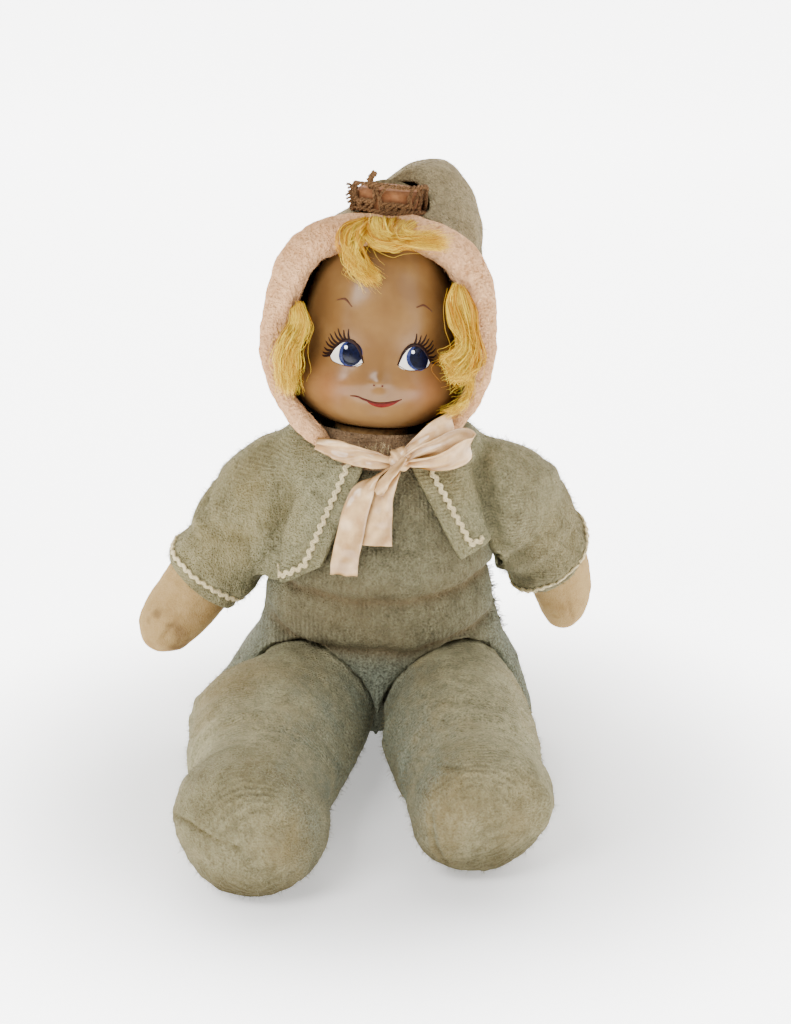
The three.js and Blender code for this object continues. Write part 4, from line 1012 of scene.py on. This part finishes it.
def neck_knit():
    turn, v = crossed(round_turns(NECK_COLUMNS), np.linspace(0, 1, NECK_ROWS))
    r = NECK_RADIUS - NECK_TAPER * v**0.7
    points = np.stack([r * np.cos(turn), r * np.sin(turn), NECK_LOW + NECK_TALL * v], 1)
    shape = in_doll(points), grid_faces(NECK_ROWS, NECK_COLUMNS, True)
    obj = piece("neck_knit", thick(pushed(shape, 0.7 * noise(points, 5, 51)), NECK_CLOTH), NECK_KNIT)
    placed(obj, "torso", "neck_cloth", "neck_cloth")


neck_knit()


def brim_point(turn):
    """The middle of the brim's roll, squarer above the cheeks than below."""
    fall, across = np.cos(turn), np.sin(turn)
    tall = np.where(fall > 0, BRIM_MIDDLE - BRIM_LOW, BRIM_HIGH - BRIM_MIDDLE)
    power = 2 / (2 + 0.7 * step(-fall, 0, 0.5))
    across, up = (np.sign(v) * np.abs(v) ** power for v in (across, fall))
    reach = BRIM_REACH * (1 + 0.07 * step(fall, -0.45, 0.45))
    return np.stack([-reach * across, BRIM_FRONT + 6 * (1 - fall), BRIM_MIDDLE - tall * up], -1)


brim_turns = np.linspace(BRIM_OPEN, 2 * math.pi - BRIM_OPEN, BRIM_ROWS)
brim_line = brim_point(brim_turns)


def brim_fleece():
    """The stuffed roll, thinner below the cheeks and rounded at its ends."""
    share = np.linspace(0, 1, BRIM_ROWS)
    end = np.clip(np.minimum(share, 1 - share) / 0.025, 0, 1)
    fat = 1 - 0.42 * step(np.cos(brim_turns), -0.45, 0.45)
    fat = (fat * np.sqrt(np.clip(1 - (1 - end) ** 2, 0.04, 1)))[:, None, None]
    along = unit(np.gradient(brim_line, axis=0))
    deep = unit(np.array([0, 1, 0]) - along * along[:, 1:2])
    wide = np.cross(along, deep)
    ring = round_turns(BRIM_COLUMNS)
    points = (
        brim_line[:, None]
        + wide[:, None] * (np.cos(ring)[None, :, None] * (BRIM_WIDE / 2 * fat))
        + deep[:, None] * (np.sin(ring)[None, :, None] * (BRIM_DEEP / 2 * fat))
    ).reshape(-1, 3)
    shape = points, tube_faces(BRIM_ROWS, BRIM_COLUMNS)
    shape = pushed(shape, 0.7 * noise(points, 9, 61) + 0.35 * noise(points, 2.6, 63))
    shape = in_doll(shape[0]), shape[1]
    obj = stuffed("hood_brim_fleece", shape, FLEECE, "torso", "hood_brim", "fleece")
    off_middle = points - np.repeat(brim_line, BRIM_COLUMNS, axis=0)
    from_head = points - [0, 0, BRIM_MIDDLE]
    toward_head = np.sum(off_middle * -from_head * [1, 0, 1], axis=1)
    toward_head /= np.linalg.norm(off_middle, axis=1) * np.linalg.norm(from_head[:, ::2], axis=1)
    # darker in blotches on the side that faces the head
    marked(obj, grime=step(toward_head, 0.35, 0.95) * (0.35 + 0.3 * noise(points, 2.2, 65)))
    return shape


def hood_cloth():
    """The hood, fuller at its peak and on the right, and drawn in round the knob."""
    base = skin_of("hood_shell", HOOD_VOXEL, 6)
    points, faces = base
    peak = points[np.argmax(points[:, 2])]
    full = 0.3 + 1.2 * bell(np.linalg.norm(points - peak, axis=1), 15)
    full = full + 2.6 * bell(points[:, 0] - 42, 12) * bell(points[:, 2] - 232, 20)
    points = pushed(base, full + 0.7 * noise(points, 16, 71) + 0.25 * noise(points, 6, 73))[0]
    local = (points - HEAD_AT) @ HEAD
    from_axis = np.hypot(local[:, 0], local[:, 1])
    pull = (from_axis - KNOB_GAP) * bell(from_axis - KNOB_GAP, 5) * step(local[:, 2], 88, 94)
    local[:, :2] *= (1 - np.maximum(pull, 0) / np.maximum(from_axis, 1))[:, None]
    shape = in_doll(local), faces
    obj = placed(piece("hood_cloth", shape, HOOD_FLANNEL), "torso", "flannel", "hood_shell")
    return shape


def hood_lining():
    rows = [brim_line * [1 - 0.05 * v, 1, 1] + [0, LINING_DEPTH * v, -2 * v]
            for v in np.linspace(0.06, 1, LINING_ROWS)]
    points = in_doll(np.stack(rows, 1).reshape(-1, 3))
    shape = thick((points, grid_faces(BRIM_ROWS, LINING_ROWS)), 1.0)
    obj = placed(piece("hood_lining", shape, HOOD_FLANNEL), "torso", "flannel")


brim_shape = brim_fleece()
hood_shape = hood_cloth()
hood_lining()


# Mohair: clumps of fine strands along a few guide lines, in the head's frame

def waves(t, size, low, high):
    """A sideways swing along a strand, with from low to high waves in it."""
    return rng.normal(0, 1, 3) * size * np.sin(2 * np.pi * rng.uniform(low, high) * t + rng.uniform(0, 6.3))


def hair(name, clumps, loose, node_name, guides):
    """Locks of hair: each clump runs between two guides, and its strands part towards their tips."""
    steps, sides = 20, 3
    t = np.linspace(0, 1, steps)[:, None]
    paths, tones = [], []
    for k in range(clumps):
        near, share = k % (len(guides) - 1), rng.uniform(0, 1)
        line = (1 - share) * curve(guides[near], steps) + share * curve(guides[near + 1], steps)
        line = line + rng.normal(0, 1, 3) * [1, 0.7, 1] * loose * np.sin(np.pi * (0.1 + 0.9 * t))
        sway = waves(t, 1.3, 1, 2.2)
        tone = rng.uniform(0.05, 1)
        for _ in range(CLUMP):
            stray = 2.5 if rng.uniform() < 0.08 else 1
            frizz = waves(t, 0.2, 2, 4)
            paths.append(line + t * (sway + frizz) + rng.normal(0, 1, 3) * (0.4 + 0.8 * t**2) * stray)
            tones.append(tone + rng.normal(0, 0.3))
    points, faces = tubes(paths, STRAND_RADIUS * (1 - 0.7 * t[:, 0] ** 2), sides)
    obj = placed(piece(name, (in_doll(points), faces), MOHAIR), "torso", "mohair", node_name)
    marked(obj, tone=np.repeat(tones, steps * sides))


hair("mohair_top", 46, 1.3, "hair_top", [
    [(-8, -17, 89), (-16, -23, 86), (-18, -27, 82), (-16, -28, 76), (-11, -29, 72), (-2, -30, 65)],
    [(-8, -17, 88), (-12, -25, 82), (-14, -28, 75), (-12, -29, 69), (-9, -30, 66)],
    [(-5, -17, 88), (-11, -25, 85), (-13, -28, 81), (-10, -29, 75), (0, -30, 67)],
])
hair("mohair_sweep", 60, 1.4, "hair_top", [
    [(-9, -17, 89), (-11, -22, 85), (-6, -27, 80), (2, -28, 79), (9, -29, 82), (24, -28, 82)],
    [(-5, -17, 90), (-4, -23, 87), (-1, -27, 83), (4, -28, 82), (12, -29, 83), (23, -28, 84)],
    [(5, -17, 90), (2, -25, 86), (4, -28, 82), (10, -29, 83), (22, -28, 84)],
    [(13, -17, 89), (8, -26, 87), (11, -28, 85), (18, -28, 85)],
])
hair("mohair_left", 70, 1.2, "hair_left", [
    [(-35, -24, 53), (-31, -28, 46), (-32, -30, 40), (-35, -30, 33), (-37, -30, 16)],
    [(-34, -24, 51), (-34, -28, 42), (-37, -30, 35), (-40, -30, 28), (-36, -30, 18)],
    [(-37, -24, 50), (-36, -27, 44), (-39, -29, 38), (-41, -30, 31), (-40, -30, 24), (-37, -30, 16)],
    [(-33, -24, 48), (-31, -28, 42), (-34, -30, 34), (-33, -30, 27), (-36, -30, 20)],
])
hair("mohair_right", 84, 1.4, "hair_right", [
    [(30, -24, 65), (28, -27, 58), (30, -29, 51), (38, -31, 44), (36, -31, 39), (27, -31, 36)],
    [(31, -24, 64), (32, -27, 57), (37, -29, 46), (34, -31, 38), (29, -31, 33), (36, -31, 27)],
    [(33, -24, 64), (37, -27, 56), (38, -29, 46), (41, -31, 36), (38, -31, 29), (33, -31, 27)],
    [(32, -24, 62), (35, -28, 52), (38, -30, 43), (38, -31, 35), (33, -31, 31), (30, -31, 30)],
])
hair("mohair_wisp", 8, 0.5, "hair_right", [
    [(36, -24, 30), (39, -28, 25), (39, -30, 19), (35, -31, 14), (30, -31, 12)],
    [(37, -24, 31), (40, -28, 26), (40, -30, 20), (37, -31, 15), (32, -31, 13)],
])


# Ribbon: satin bands from the brim's ends to a knot, a loop and two tails

def satin(name, node_name, line, lean, width, crown):
    """A band along a line.

    lean turns its width from level to upright, in degrees, and crown folds its middle up."""
    steps = RIBBON_STEPS
    p = curve(line, steps)
    angle, wide, fold = (spread(v, steps) for v in (np.radians(lean), width, crown))
    along = unit(np.gradient(p, axis=0))
    across = np.stack([np.cos(angle), np.zeros(steps), np.sin(angle)], 1)
    across = unit(across - along * np.sum(across * along, axis=1, keepdims=True))
    points, faces = strip(p, across, wide, RIBBON_CLOTH, RIBBON_COLUMNS, fold)
    share = np.linspace(-0.5, 0.5, RIBBON_COLUMNS)
    over = np.tile(np.r_[share, share[::-1]], steps)
    down = np.repeat(np.linspace(0, 1, steps), 2 * RIBBON_COLUMNS)
    gathered = 1.2 - np.repeat(wide, 2 * RIBBON_COLUMNS) / RIBBON_WIDTH
    crease = gathered * np.sin(2 * np.pi * (1.7 * over + 0.4 * np.sin(4 * down + len(line))))
    ripple = 0.6 * noise(points, 7, 81) + 0.25 * noise(points, 3, 82) + 1.3 * crease
    obj = piece(name, (points + ripple[:, None] * [0.3, 1, 0.3], faces), SATIN)
    # painted shade: tan in the hollows of the creases where the band is gathered, and in bands along it
    turn_shade = np.sin(5 * over + 8 * down + len(line))
    marked(obj, grime=0.9 * gathered * step(crease, -0.1, 0.8) + 0.4 * step(turn_shade, 0.1, 1))
    placed(obj, "torso", "satin", node_name)


satin("ribbon_band_left", "ribbon_left_band",
      [(6, -42, 145), (-6, -42, 147), (-16, -40, 149), (-27, -37, 152)],
      (60, 68, 74, 80), (4, 7.5, 9, 9, 4.5), (0, 0.9, 1.2, 0))
satin("ribbon_band_right", "ribbon_right_band",
      [(9, -42, 147), (17, -42, 153), (24, -41, 158), (31, -37, 160)],
      (120, 125, 110, 95), (4, 8, 10.5, RIBBON_WIDTH), (0, 0.8, 0.5, 0))
satin("ribbon_bow_loop", "ribbon_loop",
      [(10, -43, 146.5), (17, -43, 150), (26, -43, 152.5), (34, -43.5, 155), (38, -45.5, 154.5),
       (35, -48, 151.5), (29, -49, 148.5), (21, -47, 146), (11, -44, 145.5)],
      (100, 100, 95, 85, 78, 74, 80, 88, 90), (3.5, 6, 9, 11, RIBBON_WIDTH, 11, 9, 6.5, 3.5),
      (0, 0.5, 0.8, 0.4, 0, 0.3, 0.6, 0.5, 0))
satin("ribbon_tail_long", "ribbon_long_tail",
      [(5, -44, 144), (-3, -47, 138.5), (-7.5, -49.5, 133.5), (-10.5, -52, 126), (-12.5, -54, 117),
       (-14.5, -56, 108), (-15.5, -57, 99.5)],
      (40, 36, 24, 10, 4, 2, 2), (5, 8, 10, 11, RIBBON_WIDTH, RIBBON_WIDTH, RIBBON_WIDTH),
      (0, 0.9, 0.8, 0.4, 0.2, 0, 0))
satin("ribbon_tail_short", "ribbon_short_tail",
      [(7, -43.5, 143), (3.5, -46, 137), (1, -48, 130.5), (0, -50, 124), (-1, -52, 117.5),
       (-1.3, -53.5, 112)],
      (30, 20, 5, 0, 0, 2), (5, 7.5, 9, 10.5, 12, 13), (0, 1.2, 2.2, 2.6, 2.2, 1.4))
satin("ribbon_wrap", "ribbon_knot",
      [(11, -44.5, 147.5), (6, -47, 143), (1, -49.5, 138.5), (-2, -51, 135)],
      (45, 40, 36, 30), (7, 9, 9, 8), (1.5, 2.2, 1.6, 0.4))
knot_skin = skin_of("ribbon_knot", KNOT_VOXEL, 4)
points = knot_skin[0]
twist = np.sin((points[:, 0] * 0.8 + points[:, 2] * 1.4) * 1.1 + 2 * noise(points, 5, 83))
knot_shape = pushed(knot_skin, 0.55 * twist + 0.3 * noise(points, 3, 85))
placed(piece("ribbon_knot_satin", knot_shape, SATIN), "torso", "satin", "ribbon_knot")


# Worn crochet band round the knob

def twisted(line, ply_radius, pitch=3.0):
    """A cord of two plies twisted round a line."""
    along = unit(np.gradient(line, axis=0))
    side = unit(np.cross(along, [0.3, 0.2, 0.93]))
    other = np.cross(along, side)
    plies = []
    for start in (0, 0.5):
        a = (2 * np.pi * (run(line) / pitch + start))[:, None]
        plies.append(line + ply_radius * (np.cos(a) * side + np.sin(a) * other))
    return tubes(plies, ply_radius, 6)


def on_band(turn, height, off=0.0):
    r = BAND_RADIUS + off
    return np.stack([r * np.sin(turn), -r * np.cos(turn), height + 0 * turn], -1)


def band_top(turn):
    """The worn upper edge, which stands up in front of the knob and lies lower behind it."""
    return BAND_HIGH - 3.2 * step(np.abs(turn), 1.2, 1.9)


def chain(low_turn, high_turn, height):
    """A row of chain stitches: two plies that cross over and under each other."""
    turn = np.linspace(math.radians(low_turn), math.radians(high_turn), int(2.2 * (high_turn - low_turn)))
    a = np.pi * turn * BAND_RADIUS / CHAIN_PITCH
    level = np.minimum(height, band_top(turn)) + 0.3 * np.sin(4.0 * turn + height)
    plies = [on_band(turn, level + s * 0.55 * np.sin(a), 0.3 + s * 0.5 * np.cos(a)) for s in (-1, 1)]
    return tubes(plies, 0.52, 6)


def lace():
    """The upright stitches, but for those that the holes have lost."""
    for k in range(44):
        turn = -148 + 296 * k / 43 + 2.5 * math.sin(3.7 * k)
        share = min([high for a, b, high in HOLES if a < turn < b], default=1.0)
        if share > 0:
            t = np.linspace(0, 1, 20)
            swing = math.radians(9 * (-1) ** k) * (t - 0.5) * share + 0.05 * np.sin(2 * np.pi * t + k)
            around = math.radians(turn) + swing
            level = BAND_LOW + (band_top(around) - BAND_LOW) * share * t
            yield twisted(on_band(around, level, 0.45 * np.sin(np.pi * t)), 0.42)


def torn_end():
    """Loose threads at the band's left end."""
    for k in range(12):
        root = on_band(math.radians(-64 - 2.5 * k), BAND_LOW + 0.7 * k)
        tip = root + [-1.6 - 0.7 * (k % 3), -0.6 * (k % 2), 0.9 * (k % 4) - 1]
        yield twisted(curve([root, 0.5 * (root + tip) + [0, -0.9, 0.8], tip], 14), 0.32, 1.8)


def hood_well():
    """The cloth that the hood turns in behind the knob, higher at the back."""
    steps = 50
    turns = np.radians(np.linspace(115, 245, steps))
    share = np.clip(2.4 * np.sin(np.linspace(0.06, math.pi - 0.06, steps)), 0, 1)
    height = (WELL_HEIGHT + WELL_RISE * bell(np.degrees(turns) - 180, 42)) * share
    line = on_band(turns, WELL_LEVEL + 0.5 * height, 2.2)
    points, faces = strip(line, np.tile([0, 0, 1.0], (steps, 1)), height, 1.0)
    obj = placed(piece("hood_well", (in_doll(points), faces), HOOD_FLANNEL), "torso", "flannel")


hood_well()
tuft = curve([(-8.5, -12.8, 102), (-8, -12.3, 104), (-9, -12, 106), (-7.5, -11.5, 107.5), (-7, -11, 109)], 60)
points, faces = joined([
    chain(-150, 150, BAND_LOW),
    chain(-70, 150, BAND_HIGH),
    chain(-12, 36, BAND_LOW + 3.0),
    chain(-60, -24, BAND_LOW + 4.0),
    *lace(),
    twisted(tuft, 0.75, 2.6),
    *torn_end(),
])
placed(piece("crochet_band", (in_doll(points), faces), BRAID), "head", "braid", "knob_braid")


# Frayed edges

def fray(name, roots, way, length, spread_by, radius, material, slot_name):
    """Short loose fibres that stand out from roots along way."""
    t = np.linspace(0, 1, 7)[:, None]
    paths = []
    for root in roots:
        tip = np.asarray(way, float) * length * rng.uniform(0.5, 1.2) + rng.normal(0, 1, 3) * spread_by
        paths.append(np.asarray(root) + t * tip + np.sin(np.pi * t) * rng.normal(0, 1, 3) * 0.15 * length)
    placed(piece(name, tubes(paths, radius * (1 - 0.6 * t[:, 0])), material), "torso", slot_name)


collar_roots = [(x, -36.5 + 0.08 * abs(x), 146 + rng.uniform(0, 3)) for x in rng.normal(-2, 4, 60)]
fray("neck_fray", collar_roots, (0, -0.45, 0.8), 4.0, 1.2, 0.15, THREAD, "neck_cloth")
seam_roots = [torso_tree.ray_cast(Vector((RAY_START, -9 + rng.normal(0, 1), z)), Vector((-1, 0, 0)))[0]
              for z in rng.uniform(56, 86, 110)]
fray("side_fray", seam_roots, (0.9, -0.2, 0.1), 1.9, 0.9, 0.16, SHADED_BODICE_FLANNEL, "flannel")


# Nap: short fibres that stand off the brushed cloth

def nap(name, shape, count, length, material, bare=None):
    """Fibres at points spread evenly over a shape's skin but where bare says, combed a little downward."""
    points, faces = shape
    a, b, c = (points[[f[k] for f in faces]] for k in range(3))
    face = np.cross(b - a, c - a)
    area = np.linalg.norm(face, axis=1)
    chosen = rng.choice(len(faces), count, p=area / area.sum())
    u, v = rng.uniform(0, 1, (2, count, 1))
    root = a[chosen] + u * (b - a)[chosen] + v * (c - b)[chosen] * u
    way = 0.6 * face[chosen] / area[chosen][:, None] + rng.normal(0, 0.45, (count, 3)) + [0, 0, -0.25]
    bend = rng.normal(0, 0.3, (count, 3))
    t = np.linspace(0, 1, 4)[:, None]
    paths = root[:, None] + length * (way[:, None] * t + bend[:, None] * t**2)
    paths[..., 2] = np.maximum(paths[..., 2], ABOVE_FLOOR)
    if bare:
        paths = paths[~bare(root)]
    return piece(name, tubes(paths, NAP_RADIUS * (1 - 0.6 * t[:, 0]), 3), material)


def in_collar(points):
    return points[:, 2] > COLLAR - 4


def in_lap(points):
    return points[:, 1] > LAP


placed(nap("body_nap", torso_shape, 4000, 1.6, SHADED_BODICE_FLANNEL, in_collar), "torso", "flannel")
placed(nap("hood_nap", hood_shape, 2500, 1.5, HOOD_FLANNEL), "torso", "flannel")
placed(nap("brim_nap", brim_shape, 5000, 1.5, FLEECE), "torso", "fleece")
for side, spec in SIDES.items():
    placed(nap(side + "_leg_nap", spec["leg"], 5000, 1.6, FLANNEL, in_lap), side + "_leg", "flannel")
    dress(nap(f"jacket_{side}_nap", spec["jacket"], 5000, 1.6, JACKET_FLANNEL), side, "flannel")


# Rigid pieces of the frame keep their CAD shape

for node_name, material in {
    "turning_knob": KNOB, "head_base_plug": WOOD, "head_top_plug": WOOD, "neck_disc": WOOD,
    "turning_dowel": WOOD, "guide_tube": CARD, "dowel_washer": STEEL, "cotter_pin": STEEL,
}.items():
    materials = frame["nodes"][node_name].data.materials
    materials.clear()
    materials.append(material)


# Stage, light and camera

def sweep_floor():
    """A pale floor that curves up into a wall behind."""
    profile = [(FLOOR_NEAR, FLOOR_LEVEL), (FLOOR_FAR, FLOOR_LEVEL)]
    for a in np.linspace(0.1, math.pi / 2, 14):
        profile.append((FLOOR_FAR + WALL_CURVE * math.sin(a), WALL_CURVE - WALL_CURVE * math.cos(a)))
    profile.append((FLOOR_FAR + WALL_CURVE, WALL_TOP))
    points = [(x, y, z) for y, z in profile for x in (-FLOOR_HALF, FLOOR_HALF)]
    paper = Finish("paper")
    # painted light: the floor glows, weakest within a tenth of a metre of the doll, which paints soft shade
    # round it
    away = paper.node("VectorMath", {0: paper.place, 1: (0, -0.05, 0)}, operation="DISTANCE").outputs["Value"]
    limits = {"Value": away, "From Min": 0.1, "From Max": 0.25, "To Min": 0.5, "To Max": 4.5}
    glow = paper.node("MapRange", limits, interpolation_type="SMOOTHSTEP").outputs["Result"]
    material = paper.done({
        "Base Color": paper.mixed(paper.lumps(180, 0.3, 0.7), "f4f3f1", "f8f7f6"),
        "Roughness": 0.9,
        "Emission Color": (1, 1, 1, 1),
        "Emission Strength": glow,
    })
    return piece("floor", (points, grid_faces(len(profile), 2)), material)


def toward(obj, at, target):
    """Sets a light or the camera in its place, looking at a target."""
    obj.location = at
    obj.rotation_euler = (Vector(target) - Vector(at)).to_track_quat("-Z", "Y").to_euler()
    scene.collection.objects.link(obj)


sweep_floor()
camera = bpy.data.objects.new("camera", bpy.data.cameras.new("camera"))
toward(camera, Vector((0, -math.cos(ELEVATION), math.sin(ELEVATION))) * EYE_DISTANCE * MM, AIM * MM)
camera.data.sensor_fit = "VERTICAL"
camera.data.angle = FIELD
camera.data.clip_end = 20
scene.camera = camera
for name, (at, target, size, power) in LIGHTS.items():
    light = bpy.data.lights.new(name, "AREA")
    light.shape = "DISK"
    light.size = size
    light.energy = power
    toward(bpy.data.objects.new(name, light), at, target)
world = bpy.data.worlds.new("studio")
world.use_nodes = True
background = world.node_tree.nodes["Background"]
background.inputs["Color"].default_value = (1, 1, 1, 1)
background.inputs["Strength"].default_value = WORLD_STRENGTH
scene.world = world
